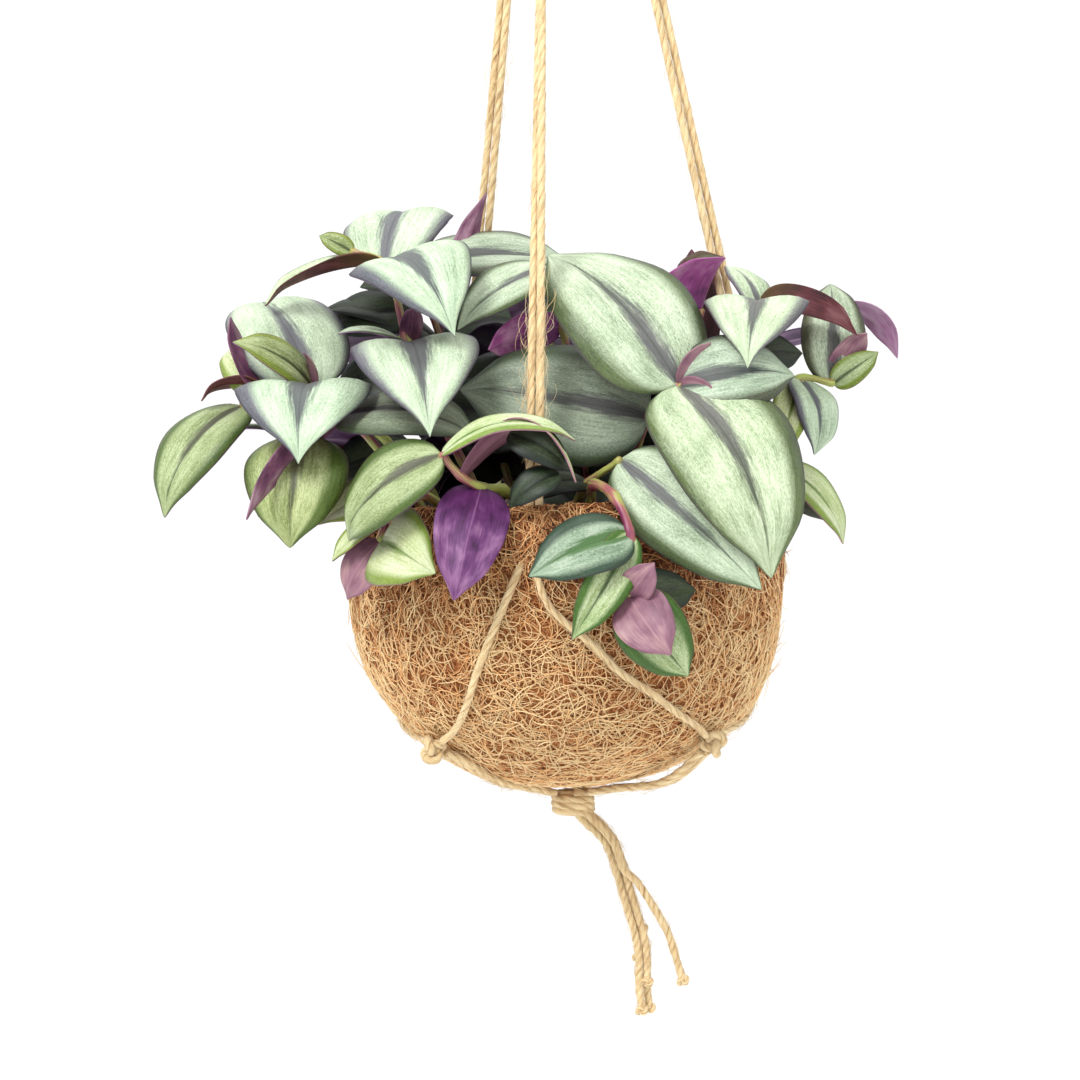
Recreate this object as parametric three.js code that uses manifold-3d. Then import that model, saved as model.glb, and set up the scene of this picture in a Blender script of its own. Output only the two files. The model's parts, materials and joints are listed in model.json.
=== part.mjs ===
// A tradescantia in a hanging coir bowl: the bowl, its soil, the jute cords it hangs on and the leafy stems.
// Millimetres, +Z up. The origin is where a hook bears inside the hanging loop, and the bowl hangs below it.
// The plant and bowl are laid out in the pot's own frame: origin under the bowl, -Y the front, +X the right.
import * as THREE from "three";
import { mergeVertices } from "three/addons/utils/BufferGeometryUtils.js";
import Module from "manifold-3d";

const wasm = await Module();
wasm.setup();
const vector = (p) => new THREE.Vector3(...p);
const radians = THREE.MathUtils.degToRad;
// A point at an azimuth round the bowl, counted from the front towards +X.
function around(azimuth, radius, height) {
  const a = radians(azimuth);
  return [radius * Math.sin(a), -radius * Math.cos(a), height];
}

// ---- Driving dimensions ----
const HANG_HEIGHT = 545; // the bowl's underside to the top of the loop's eye
const GAP = 0.3; // between pieces that touch

// The coir bowl
const BOWL_OUTSIDE = [
  [22, 0.8], [34, 3.2], [43, 7], [53, 12.8], [61, 18.4], [68, 25.4],
  [74, 33.5], [80.5, 47], [84.8, 64], [86, 80], [83.8, 102],
]; // radius and height, from the underside up
const BOWL_INSIDE = [
  [74, 103], [76.4, 84], [74.6, 62], [66.5, 42], [52, 25], [32, 13],
]; // from the rim down
const RIM = [[81.8, 108], [78, 110.8], [74.6, 108.4]]; // the rounded rim
const BOWL_FLOOR = 10; // thickness under the soil
const BOWL_SIDES = 30; // facets round the bowl
const BOWL_WAVER = 0.7; // how far the fibre wall strays from round
const EAR_OUT = 4; // how far a leg draws the wall outward
const EAR_WIDTH = 13; // degrees round the bowl that an ear spreads
const EAR_FOOT = 78; // height where an ear begins

// The soil
const SOIL_TOP = 96;
const SOIL_CROWN = 3.5; // how far it mounds up in the middle
const HOLE_RADIUS = 4; // round each stem
const ROOT_DEPTH = 20; // of a stem in its hole

// The jute cords
const CORD = 3.6; // diameter of a strand
const PAIR = 4.1; // between the two strands of a leg
const CORD_SIDES = 8;
const WALL_STEPS = 11; // along a strand on the wall
const MEET_HEIGHT = 499; // where the legs meet, above the bowl's underside
const MEET_ASIDE = 1.5; // how far to the right of the bowl's middle they meet
const LEG_SPREAD = 4.5; // from the middle of the top knot to each leg
const TOP_KNOT = { radius: 8, half: 8 };
const LOOP_CORD = 6; // diameter of the plaited loop
const LOOP_HALF_WIDTH = 13;
const LEG_HOLE = { radius: 79, height: 97, mouth: 113 }; // where a leg runs down inside the wall
const SIDE_KNOT = { radius: 4.8, out: 69.5, height: 18.8 };
const BOTTOM_KNOT = [[4.5, -12], [6.6, -9.5], [8, -6.5], [8, -3], [6.5, -0.8]]; // radius and height
const LEGS = [
  { name: "front", azimuth: -9.5, rise: 6.5, deep: true },
  { name: "right", azimuth: 94, rise: 3, deep: false },
  { name: "back", azimuth: -147, rise: 3, deep: true },
]; // azimuth from the front towards +X; how high the leg draws the rim up; whether its strands meet one
// behind the other under the top knot, or still side by side
const SIDE_KNOTS = [
  { name: "left", azimuth: -50, under: [[57, 12.4], [51, 9], [43, 4.5], [34, 0.9], [20, -1.7], [10.5, -4.4]] },
  {
    name: "right", azimuth: 51,
    under: [[60, 10], [56, 7], [49, 3.4], [41.5, 1.2], [32, 0], [20, -1.7], [10.5, -4.4]],
  },
  { name: "rear", azimuth: 160, under: [[57, 12.4], [51, 9], [43, 4.5], [34, 0.9], [20, -1.7], [10.5, -4.4]] },
]; // and the radius and height of the strands that run on from each under the bowl
// Each strand on the wall runs from its leg's hole to a side knot, as [azimuth, height] on the bowl.
const WALL_ROUTES = [
  {
    leg: 0, side: -1, knot: 0,
    route: [[-12.6, 86], [-16, 75], [-20, 63], [-25.6, 49], [-31, 38], [-41, 27]],
  },
  {
    leg: 0, side: 1, knot: 1,
    route: [[-7.6, 84], [-5.2, 74], [0, 66], [5.5, 59], [12, 49.5], [21, 41.5], [32, 32.5], [43, 26.5]],
  },
  {
    leg: 1, side: -1, knot: 1,
    route: [[95, 86], [101, 74], [105, 62], [105, 50], [101, 39], [93, 31.5], [82, 26.5], [72, 23.5], [62, 21.8]],
  },
  {
    leg: 1, side: 1, knot: 2,
    route: [[99, 86], [105, 73], [111, 62], [117, 53], [124, 45], [132, 37.5], [140, 31.5], [147, 27.5]],
  },
  {
    leg: 2, side: 1, knot: 0,
    route: [[-144, 86], [-141, 73], [-135, 61], [-127, 50], [-117, 40.5], [-105, 32], [-91, 26.5], [-76, 23], [-63, 21.8]],
  },
  {
    leg: 2, side: -1, knot: 2,
    route: [[-149.5, 86], [-157, 72], [-166, 59], [-175, 46], [-184, 35.5], [-190, 28.5]],
  },
];
// The tails of the bottom knot hang in a bundle along these points, [x, height]; one of them strays off it.
const TAIL_ROUTE = [
  [4.7, -12.4], [11.2, -18.8], [15.5, -25], [17.8, -32], [20.2, -41],
  [23, -51], [25.5, -60], [26.8, -70], [26.6, -80], [27.5, -91],
];
const TAIL_STRAY = [[19.5, -33.5], [24.5, -38.5], [28, -43.5], [33, -52], [37, -60], [40, -70], [42.5, -79]];
const TAIL = 3.4; // diameter
const TAILS = [
  { across: -1.9, depth: -1.9, points: 10 },
  { across: 1.9, depth: -1.9, points: 9 },
  { across: -1.9, depth: 1.9, points: 8 },
  { across: 1.9, depth: 1.9, points: 10 },
  { across: 1.9, depth: 5.7, points: 7 },
  { across: 1.2, depth: -5.8, points: 3, stray: true },
]; // each one's place in the bundle, and how many of its points it follows

// The plant
const STEM = 4.4; // diameter
const STEM_BENDS = 2; // a stem has this many more straight steps than points
const STEM_SIDES = 5;
const BLADE = 0.9; // thickness
const LEAF_STATIONS = [
  { narrower: 20, at: [0, 0.22, 0.62, 1] },
  { narrower: 49, at: [0, 0.14, 0.42, 0.76, 1] },
  { narrower: 99, at: [0, 0.12, 0.32, 0.58, 0.82, 1] },
]; // along blades up to each width

const LEAF_ENDS = 0.09; // of a blade's greatest width, at its base and tip

// ---- The plant's stems, in the pot's frame ----
const stems = [];
// A stem rises from its place in the soil through its nodes, and each leaf grows from one of these points.
function stem(name, points, leaves) {
  stems.push({ name, points, leaves });
}
// A leaf: the stem point it grows from, its tip, where its upper face looks, its width, how far the midrib
// arches up from base to tip, how far the margins are folded up, and its twist in degrees.
function leaf(at, tip, face, width, arch = 0, fold = 0.1, twist = 0) {
  return { at, tip, face, width, arch, fold, twist };
}

stem("stem_left_top",
  [[-26, -8, 98], [-34, -14, 116], [-50, -26, 150], [-60, -30, 175], [-69, -24, 207], [-82, -16, 213]], [
  leaf(3, [-50, -84, 137], [0, -0.5, 0.85], 46, 14, 0.12),
  leaf(3, [-86, -45, 179], [0, -0.35, 0.95], 14, 3),
  leaf(3, [-57, -42, 188], [0, 0.9, 0.3], 9, 2, 0.4),
  leaf(4, [-40, -72, 175], [-0.05, -0.58, 0.83], 44, 14),
  leaf(4, [-54, 20, 217], [-0.15, -0.4, 0.9], 45, 18, 0.05),
  leaf(4, [-119, -10, 195], [0, 0.12, 1], 20, 4, 0.7, -60),
  leaf(5, [-94, -12, 220], [-0.3, -0.8, 0.4], 14, 1, 0.3),
]);
stem("stem_left",
  [[-44, 0, 98], [-54, -6, 118], [-78, -18, 146], [-98, -24, 159], [-116, -24, 158], [-126, -22, 153]], [
  leaf(3, [-126, 22, 198], [0.1, -0.62, 0.8], 47, 12, 0.08),
  leaf(3, [-125, -50, 177], [0.2, -0.8, 0.55], 18, 5),
  leaf(3, [-100, -34, 173], [0.7, 0.7, 0], 6, 1, 0.3),
  leaf(3, [-100, -72, 129], [0, -0.5, 0.87], 48, 13, 0.06),
  leaf(4, [-129, -32, 187], [-0.85, 0.45, -0.2], 14, 2, 0.2),
  leaf(4, [-134, -6, 177], [-0.3, -0.9, 0.3], 18, 5),
  leaf(4, [-142, -28, 156], [0, 0.3, 0.95], 13, 5, 0.2),
  leaf(5, [-156, -40, 110], [-0.45, -0.75, 0.45], 33, 9, 0.08),
]);
stem("stem_left_low",
  [[-50, -24, 98], [-62, -32, 120], [-86, -42, 147], [-100, -42, 140]], [
  leaf(2, [-119, -80, 108], [-0.65, 0.5, 0.4], 14, 4, 0.3),
  leaf(2, [-32, -62, 137], [0, -0.6, 0.8], 33, 7),
  leaf(3, [-105, -58, 97], [-0.1, -0.95, 0.2], 40, 9, 0.06),
  leaf(1, [-95, -50, 106], [-0.2, -0.85, 0.45], 20, 5),
]);
stem("stem_front_left",
  [[-18, -44, 98], [-18, -52, 110], [-24, -66, 117], [-32, -78, 118], [-39, -84, 122], [-46, -86, 130]], [
  leaf(3, [-42, -104, 77], [0, 0.95, 0.2], 27, -6, 0.12),
  leaf(4, [4, -97, 119], [0, 0.35, 0.94], 16, 20, 0.15),
  leaf(5, [4, -86, 135], [0, -0.45, 0.9], 17, 10),
  leaf(5, [-84, -72, 99], [-0.3, -0.8, 0.5], 31, 9),
]);
stem("stem_low_left",
  [[-38, -38, 98], [-46, -46, 110], [-56, -58, 116], [-66, -64, 110], [-70, -65, 99]], [
  leaf(4, [-49, -96, 87], [-0.66, -0.6, 0.43], 32, 6),
  leaf(4, [-84, -60, 77], [0.6, 0.75, 0.1], 18, -4, 0.3),
  leaf(3, [-89, -64, 92], [-0.5, -0.7, 0.4], 11, 2, 0.3),
]);
stem("stem_top_left",
  [[-18, 14, 98], [-24, 20, 126], [-48, 26, 178], [-60, 32, 213]], [
  leaf(3, [5, 30, 216], [0, -0.54, 0.84], 36, 5, 0.4),
  leaf(2, [-97, 6, 194], [0, -0.5, 0.85], 26, 6),
  leaf(1, [-62, 12, 146], [0, -0.8, 0.5], 24, 5),
  leaf(1, [8, 24, 158], [0, -0.8, 0.5], 28, 5),
  leaf(2, [-31, 40, 243], [-0.5, 0.8, 0], 14, 2, 0.4),
]);
stem("stem_top",
  [[6, -2, 98], [8, -2, 126], [0, -18, 182], [-4, -20, 204]], [
  leaf(3, [-41, -47, 180], [0.1, -0.65, 0.75], 24, 6),
  leaf(2, [-29, -48, 171], [0, 0.9, 0.3], 16, 3, 0.2),
  leaf(1, [-20, -14, 146], [0, -0.8, 0.5], 26, 5),
  leaf(1, [34, -10, 148], [0, -0.8, 0.5], 26, 5),
]);
stem("stem_right_mid",
  [[20, -14, 98], [24, -26, 118], [32, -50, 144], [43, -62, 155]], [
  leaf(2, [-41, -40, 158], [0, -0.94, 0.34], 50, 4, 0.06),
  leaf(3, [-5, -34, 208], [0.3, -0.85, 0.45], 54, 8),
  leaf(3, [75, -92, 82], [0.3, -0.9, 0.3], 54, 14),
  leaf(3, [87, -58, 158], [0, -0.85, 0.5], 35, 6),
  leaf(3, [55, -60, 171], [-0.8, 0.5, 0], 9, 1, 0.3),
  leaf(3, [56, -70, 151], [0.3, 0.8, 0.5], 8, 1, 0.3),
]);
stem("stem_centre",
  [[2, -24, 98], [4, -38, 111], [8, -56, 119], [20, -70, 127]], [
  leaf(3, [70, -90, 78], [-0.2, -0.9, 0.3], 35, 9),
  leaf(2, [-14, -62, 113], [0, -0.5, 0.85], 18, 4),
  leaf(1, [-20, -30, 120], [0, -0.7, 0.7], 20, 4),
  leaf(1, [33, -40, 121], [0, -0.7, 0.7], 19, 4),
]);
stem("stem_right_top",
  [[40, -2, 98], [46, -4, 124], [66, -14, 165], [77, -22, 187], [100, 20, 190]], [
  leaf(3, [68, -70, 161], [0, -0.45, 0.9], 38, 12),
  leaf(3, [116, -12, 174], [0, 0.7, 0.7], 18, 10, 0.9, 50),
  leaf(3, [66, -3, 205.5], [0.5, -0.75, 0.4], 18, 4),
  leaf(4, [137, 20, 169], [0, -0.3, 0.95], 17, 10, 0.1, -75),
]);
stem("stem_right_rear",
  [[30, 14, 98], [38, 14, 126], [52, 8, 168], [56, 4, 189]], [
  leaf(3, [65, -6, 209], [-0.95, 0.3, 0], 20, 1, 1.5),
  leaf(2, [54, 12, 215], [-0.3, 0.9, 0.2], 24, -3, 0.2),
  leaf(2, [16, 10, 186], [0, -0.8, 0.5], 26, 5),
]);
stem("stem_far_right",
  [[46, -16, 98], [55, -16, 118], [84, -10, 147], [94, -4, 160], [108, 0, 158]], [
  leaf(3, [99, -14, 129], [0.6, -0.75, 0.2], 24, 6),
  leaf(4, [110, 18, 200], [0, -0.95, 0.3], 26, 8, 0.08),
  leaf(4, [122, 0, 175], [-0.5, 0.8, 0.2], 14, 2, 0.3),
  leaf(4, [124, -2, 163], [0.1, -0.9, 0.4], 13, 1, 0.3),
  leaf(3, [82, -24, 127], [0.2, -0.9, 0.3], 16, 4),
]);
stem("stem_low_right",
  [[56, -22, 98], [64, -28, 116], [78, -36, 126]], [
  leaf(2, [107, -42, 94], [0.3, -0.7, 0.65], 18, 7, 0.15),
  leaf(2, [101, -28, 103], [0, -0.3, -0.95], 11, 3),
  leaf(2, [87, -48, 126], [0.6, -0.7, 0.2], 8, 1, 0.3),
]);
stem("stem_front_right",
  [[10, -50, 98], [9, -58, 111], [10, -72, 118], [17, -88, 113], [22, -95, 99.5], [21, -97, 77]], [
  leaf(4, [-15, -104, 85], [0.2, -0.8, 0.5], 25, 5),
  leaf(4, [0, -104, 62], [0.3, -0.9, 0.2], 21, 3),
  leaf(5, [40, -101, 67], [0.1, 1, 0.05], 31, -3, 0.15),
  leaf(5, [42, -99, 47], [-0.4, -0.8, 0.4], 26, 4),
  leaf(5, [46, -90, 75], [0, -0.75, 0.65], 24, 5),
]);

// The stems at the back and deep among the others grow by one rule: each leaves the soil on its side of the
// bowl, rises, leans out over the rim, and bears its leaves in turn to its left and right.
// Each is given as [azimuth, radius of its root, height of its end, radius of its end, seed].
const REAR_STEMS = [
  [118, 48, 174, 94, 95],
  [156, 48, 138, 120, 8],
  [178, 30, 204, 80, 1],
  [206, 50, 130, 118, 161],
  [236, 42, 186, 94, 3],
  [272, 54, 138, 90, 118],
];
const LEAN = [0, 0.12, 0.42, 0.72, 1]; // how far out each point of such a stem is, from root to end
const CLIMB = [0, 0.3, 0.78, 1, 0.94]; // and how far up
const GROUND = 98; // height where stems leave the soil
// Numbers from 0 to 1 drawn from a seed; the first few, which are alike for near seeds, are passed over.
function randomFrom(seed) {
  let state = seed * 7919 + 12345;
  const next = () => {
    state = (state * 16807) % 2147483647;
    return state / 2147483647;
  };
  for (let i = 0; i < 5; i++) next();
  return next;
}
function rearStem([azimuth, root, height, reach, seed], number) {
  const random = randomFrom(seed);
  const between = (low, high) => low + (high - low) * random();
  const points = LEAN.map((out, i) => {
    const angle = azimuth + (i < 2 ? 0 : between(-8, 8));
    return around(angle, root + (reach - root) * out, GROUND + (height - GROUND) * CLIMB[i]);
  });
  const leaves = [];
  const end = points.length - 1;
  for (let i = 1; i <= end; i++) {
    const side = i % 2 ? 1 : -1;
    const heading = azimuth + side * (i === end ? between(0, 30) : between(40, 100));
    const length = i === 1 ? between(32, 44) : between(50, 70);
    const drop = between(-0.62, 0.16) * length;
    const [x, y] = around(heading, Math.sqrt(length ** 2 - drop ** 2), 0);
    const tip = [points[i][0] + x, points[i][1] + y, points[i][2] + drop];
    const [outX, outY] = around(azimuth, 0.45, 0);
    const width = length * between(0.4, 0.52);
    leaves.push(leaf(i, tip, [outX, outY, 0.85], width, between(4, 11), between(0.08, 0.2)));
  }
  return { name: `stem_rear_${number + 1}`, points, leaves };
}
stems.push(...REAR_STEMS.map(rearStem));

// ---- Closed meshes, and joining and cutting them ----
function solidOf(geometry) {
  const bare = geometry.clone();
  bare.deleteAttribute("normal");
  bare.deleteAttribute("uv");
  const merged = mergeVertices(bare, 1e-4);
  const position = merged.getAttribute("position");
  const triVerts = new Uint32Array(merged.index.array);
  const vertProperties = new Float32Array(position.array);
  return new wasm.Manifold(new wasm.Mesh({ numProp: 3, vertProperties, triVerts }));
}
function geometryOf(solid) {
  const mesh = solid.getMesh();
  const geometry = new THREE.BufferGeometry();
  geometry.setAttribute("position", new THREE.BufferAttribute(mesh.vertProperties, 3));
  geometry.setIndex(new THREE.BufferAttribute(mesh.triVerts, 1));
  return geometry;
}
// The largest body of a solid: small scraps that a cut leaves are dropped.
function mainBody(solid) {
  return solid.decompose().sort((a, b) => b.volume() - a.volume())[0];
}

// A round section swept along a smooth curve through the points.
function tube(points, diameter, sides, steps) {
  const section = new THREE.Shape();
  for (let i = 0; i < sides; i++) {
    const angle = (2 * Math.PI * i) / sides;
    const x = (diameter / 2) * Math.cos(angle);
    const y = (diameter / 2) * Math.sin(angle);
    if (i === 0) section.moveTo(x, y);
    else section.lineTo(x, y);
  }
  section.closePath();
  const path = new THREE.CatmullRomCurve3(points.map(vector), false, "centripetal");
  return new THREE.ExtrudeGeometry(section, { extrudePath: path, steps });
}
// A profile of [radius, height] points, from the axis to the axis, turned round the Z axis.
function turned(profile, sides) {
  const points = profile.map(([radius, height]) => new THREE.Vector2(radius, height));
  return new THREE.LatheGeometry(points, sides).rotateX(Math.PI / 2);
}

// ---- The bowl's outside, as a radius at any height ----
function bowlRadius(height) {
  const outline = [[0, 0], ...BOWL_OUTSIDE, ...RIM.slice(0, 1)];
  const above = outline.findIndex(([, z]) => z >= height);
  if (above < 1) return outline[outline.length - 1][0];
  const [r0, z0] = outline[above - 1];
  const [r1, z1] = outline[above];
  return r0 + ((r1 - r0) * (height - z0)) / (z1 - z0);
}
const turn = (a, b) => Math.abs(((a - b + 540) % 360) - 180); // degrees between two azimuths
// How much of a leg's ear is felt at an azimuth and height.
function ear(leg, azimuth, height) {
  const across = Math.exp(-((turn(azimuth, leg.azimuth) / EAR_WIDTH) ** 2));
  const up = THREE.MathUtils.smoothstep(height, EAR_FOOT, RIM[0][1]);
  return across * up;
}
function waver(azimuth, height) {
  const a = radians(azimuth);
  const slow = Math.sin(3 * a + 1) + 0.6 * Math.sin(5 * a + height / 21);
  return BOWL_WAVER * (slow + 0.4 * Math.sin(8 * a + height / 13));
}
// A point on the bowl's outside, lifted off it along the radius.
function onBowl(azimuth, height, lift) {
  let radius = bowlRadius(height) + lift + waver(azimuth, height) * Math.min(1, height / 30);
  for (const leg of LEGS) radius += EAR_OUT * ear(leg, azimuth, height);
  return around(azimuth, radius, height);
}

// ---- The pieces ----
const pot = new THREE.Group();
pot.position.set(-MEET_ASIDE, 0, -HANG_HEIGHT);
const finish = {
  coir: new THREE.MeshStandardMaterial({ color: 0xb98a5a, roughness: 0.95 }),
  soil: new THREE.MeshStandardMaterial({ color: 0x2a1d16, roughness: 1 }),
  jute: new THREE.MeshStandardMaterial({ color: 0xe3cf9f, roughness: 0.9 }),
  leaf: new THREE.MeshStandardMaterial({ color: 0x9db89a, roughness: 0.45 }),
};
function place(name, shape, material) {
  const mesh = new THREE.Mesh(shape.isBufferGeometry ? shape : geometryOf(shape), material);
  mesh.name = name;
  pot.add(mesh);
}

// A leaf's width at t from base (0) to tip (1), as a share of its greatest width, which is past a third.
function leafOutline(t) {
  const body = 2.118 * t ** 0.42 * (1 - t) ** 0.72;
  const drawnOut = 1 - 0.42 * THREE.MathUtils.smoothstep(t, 0.78, 1);
  return Math.max(body * drawnOut, LEAF_ENDS);
}
// A leaf blade: a thin arched solid with a midrib, split alike above and below.
function leafSolid(base, { tip, face, width, arch, fold, twist }) {
  const root = vector(base);
  const chord = vector(tip).sub(root);
  const length = chord.length();
  const along = chord.clone().normalize();
  const up = vector(face);
  up.addScaledVector(along, -up.dot(along)).normalize();
  const across = new THREE.Vector3().crossVectors(up, along);
  const stations = LEAF_STATIONS.find(({ narrower }) => width < narrower).at;
  const position = [];
  for (const t of stations) {
    const slope = (4 * arch * (1 - 2 * t)) / length;
    const normal = up.clone().addScaledVector(along, -slope).normalize();
    const spin = radians(twist * t);
    const side = across.clone().multiplyScalar(Math.cos(spin)).addScaledVector(normal, Math.sin(spin));
    const lift = normal.clone().multiplyScalar(Math.cos(spin)).addScaledVector(across, -Math.sin(spin));
    const half = (width / 2) * leafOutline(t);
    const spine = root.clone().addScaledVector(along, length * t).addScaledVector(up, 4 * arch * t * (1 - t));
    for (const layer of [0.5, -0.5])
      for (const u of [-1, 0, 1]) {
        const p = spine.clone().addScaledVector(side, u * half);
        p.addScaledVector(lift, Math.abs(u) * fold * half + layer * BLADE);
        position.push(p.x, p.y, p.z);
      }
  }
  const index = [];
  const quad = (a, b, c, d) => index.push(a, b, c, a, c, d);
  for (let i = 0; i + 1 < stations.length; i++) {
    const a = 6 * i;
    const b = a + 6;
    quad(a, b, b + 1, a + 1);
    quad(a + 2, a + 1, b + 1, b + 2);
    index.push(a + 3, b + 4, b + 3, a + 3, a + 4, b + 4);
    index.push(a + 5, b + 5, b + 4, a + 5, b + 4, a + 4);
    quad(a, a + 3, b + 3, b);
    quad(a + 2, b + 2, b + 5, a + 5);
  }
  const end = 6 * (stations.length - 1);
  quad(0, 1, 4, 3);
  quad(1, 2, 5, 4);
  quad(end, end + 3, end + 4, end + 1);
  quad(end + 1, end + 4, end + 5, end + 2);
  const geometry = new THREE.BufferGeometry();
  geometry.setAttribute("position", new THREE.Float32BufferAttribute(position, 3));
  geometry.setIndex(index);
  return solidOf(geometry);
}

function stemSolid({ points, leaves }) {
  const [x, y, z] = points[0];
  const route = [[x, y, z - ROOT_DEPTH], ...points];
  let solid = solidOf(tube(route, STEM, STEM_SIDES, points.length + STEM_BENDS));
  for (const one of leaves) solid = solid.add(leafSolid(points[one.at], one));
  return mainBody(solid);
}

// The bowl: a thick fibre shell, drawn up and out where the legs pull on it.
function bowlShell() {
  const profile = [[0, 0], ...BOWL_OUTSIDE, ...RIM, ...BOWL_INSIDE, [0, BOWL_FLOOR]];
  const shell = turned(profile, BOWL_SIDES);
  const position = shell.getAttribute("position");
  for (let i = 0; i < position.count; i++) {
    const x = position.getX(i);
    const y = position.getY(i);
    const z = position.getZ(i);
    const radius = Math.hypot(x, y);
    if (radius < 1e-6) continue;
    const azimuth = THREE.MathUtils.radToDeg(Math.atan2(x, -y));
    let wider = waver(azimuth, z) * Math.min(1, z / 30);
    let higher = 0;
    for (const leg of LEGS) {
      const pull = ear(leg, azimuth, z);
      wider += EAR_OUT * pull;
      higher += leg.rise * pull;
    }
    const scale = (radius + wider) / radius;
    position.setXYZ(i, x * scale, y * scale, z + higher);
  }
  return solidOf(shell);
}

// A strand of a leg, from under the top knot to its hole in the wall, beside the leg's other strand.
function legStrand(leg, side) {
  const top = MEET_HEIGHT - TOP_KNOT.half - 1;
  const [x, y] = around(leg.azimuth, LEG_SPREAD, 0);
  const start = vector([x + MEET_ASIDE, y, top]);
  const hole = vector(around(leg.azimuth, LEG_HOLE.radius + EAR_OUT, LEG_HOLE.height));
  const mouth = (LEG_HOLE.mouth - LEG_HOLE.height) / (top - LEG_HOLE.height);
  const [acrossX, acrossY] = around(leg.azimuth + 90, 1, 0);
  const [outX, outY] = around(leg.azimuth, 1, 0);
  return [0, 0.33, 0.66, 1 - mouth, 1].map((share) => {
    const swing = leg.deep ? (Math.PI / 2) * (1 - Math.min(1, share / 0.66)) : 0;
    const across = (side * PAIR * Math.cos(swing)) / 2;
    const out = (side * PAIR * Math.sin(swing)) / 2;
    const p = start.clone().lerp(hole, share);
    return [p.x + across * acrossX + out * outX, p.y + across * acrossY + out * outY, p.z];
  });
}
function knotCentre(knot) {
  return around(knot.azimuth, SIDE_KNOT.out, SIDE_KNOT.height);
}
// Carries a route on towards a knot, up to its skin.
function stopAtKnot(points, centre, radius) {
  const last = vector(points[points.length - 1]);
  const toward = vector(centre).sub(last);
  const reach = toward.length() - radius - GAP;
  return [...points, last.addScaledVector(toward.normalize(), reach).toArray()];
}
// A strand on the wall: out of the leg's hole and down the bowl to its side knot.
function wallStrand({ leg, side, knot, route }) {
  const [x, y, z] = legStrand(LEGS[leg], side).pop();
  const down = route.map(([azimuth, height]) => onBowl(azimuth, height, CORD / 2 + 3 * GAP));
  return stopAtKnot([[x, y, z - 4 * GAP], ...down], knotCentre(SIDE_KNOTS[knot]), SIDE_KNOT.radius);
}
// One of the two strands that run from a side knot in under the bowl to the knot in its middle.
function underStrand(knot, side) {
  const [acrossX, acrossY] = around(knot.azimuth + 90, (side * PAIR) / 2, 0);
  const beside = ([x, y, z]) => [x + acrossX, y + acrossY, z];
  const run = knot.under.map(([radius, height]) => beside(around(knot.azimuth, radius, height)));
  return stopAtKnot(run.reverse(), beside(knotCentre(knot)), SIDE_KNOT.radius);
}
// A tail of the bottom knot, at its place across and in the depth of the bundle.
function tailStrand({ across, depth, points, stray }) {
  const run = TAIL_ROUTE.slice(0, points).map(([x, z], i) => {
    const [x0, z0] = TAIL_ROUTE[Math.max(0, i - 1)];
    const [x1, z1] = TAIL_ROUTE[Math.min(TAIL_ROUTE.length - 1, i + 1)];
    const long = Math.hypot(x1 - x0, z1 - z0);
    return [x - (across * (z1 - z0)) / long, depth, z + (across * (x1 - x0)) / long];
  });
  return stray ? [...run, ...TAIL_STRAY.map(([x, z]) => [x, depth, z])] : run;
}

// The bowl, with a hole through the rim for each strand.
function bowlSolid() {
  let bowl = bowlShell();
  for (const wall of WALL_ROUTES) {
    const [mouth, hole] = legStrand(LEGS[wall.leg], wall.side).slice(-2);
    const above = vector(mouth).lerp(vector(hole), -0.9).toArray();
    const under = vector(mouth).lerp(vector(hole), 1.1).toArray();
    bowl = bowl.subtract(solidOf(tube([above, under], CORD + 4 * GAP, 6, 1)));
    bowl = bowl.subtract(solidOf(tube(wallStrand(wall), CORD + 2 * GAP, CORD_SIDES, WALL_STEPS)));
  }
  return mainBody(bowl);
}
// The soil, mounded a little in the middle, with a plain hole for each stem.
function soilSolid() {
  const side = BOWL_INSIDE.filter(([, z]) => z < SOIL_TOP - 4).reverse();
  const wall = side.map(([radius, z]) => [radius - 3 * BOWL_WAVER, z + 2 * GAP]);
  const brim = wall[wall.length - 1][0] - 0.5;
  const top = [[brim, SOIL_TOP - 3], [60, SOIL_TOP], [30, SOIL_TOP + 2], [0, SOIL_TOP + SOIL_CROWN]];
  let soil = solidOf(turned([[0, BOWL_FLOOR + 2 * GAP], ...wall, ...top], 20));
  for (const { points } of stems) {
    const [x, y, z] = points[0];
    const hole = new THREE.CylinderGeometry(HOLE_RADIUS, HOLE_RADIUS, ROOT_DEPTH + 20, 6);
    hole.rotateX(Math.PI / 2).translate(x, y, z + 10 - 2 * GAP - ROOT_DEPTH / 2);
    soil = soil.subtract(solidOf(hole));
  }
  return mainBody(soil);
}

place("coir_bowl", bowlSolid(), finish.coir);
place("potting_soil", soilSolid(), finish.soil);
for (const wall of WALL_ROUTES) {
  const leg = LEGS[wall.leg];
  const name = `${leg.name}_${wall.side < 0 ? "a" : "b"}`;
  place(`leg_${name}`, tube(legStrand(leg, wall.side), CORD, CORD_SIDES, 5), finish.jute);
  place(`wall_strand_${name}`, tube(wallStrand(wall), CORD, CORD_SIDES, WALL_STEPS), finish.jute);
}
for (const knot of SIDE_KNOTS) {
  const ball = new THREE.SphereGeometry(SIDE_KNOT.radius, 10, 7).translate(...knotCentre(knot));
  place(`side_knot_${knot.name}`, ball, finish.jute);
  for (const [hand, side] of [["a", -1], ["b", 1]]) {
    const strand = tube(underStrand(knot, side), CORD, CORD_SIDES, 6);
    place(`under_strand_${knot.name}_${hand}`, strand, finish.jute);
  }
}
const [knotLow] = BOTTOM_KNOT;
const knotHigh = BOTTOM_KNOT[BOTTOM_KNOT.length - 1];
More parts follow.
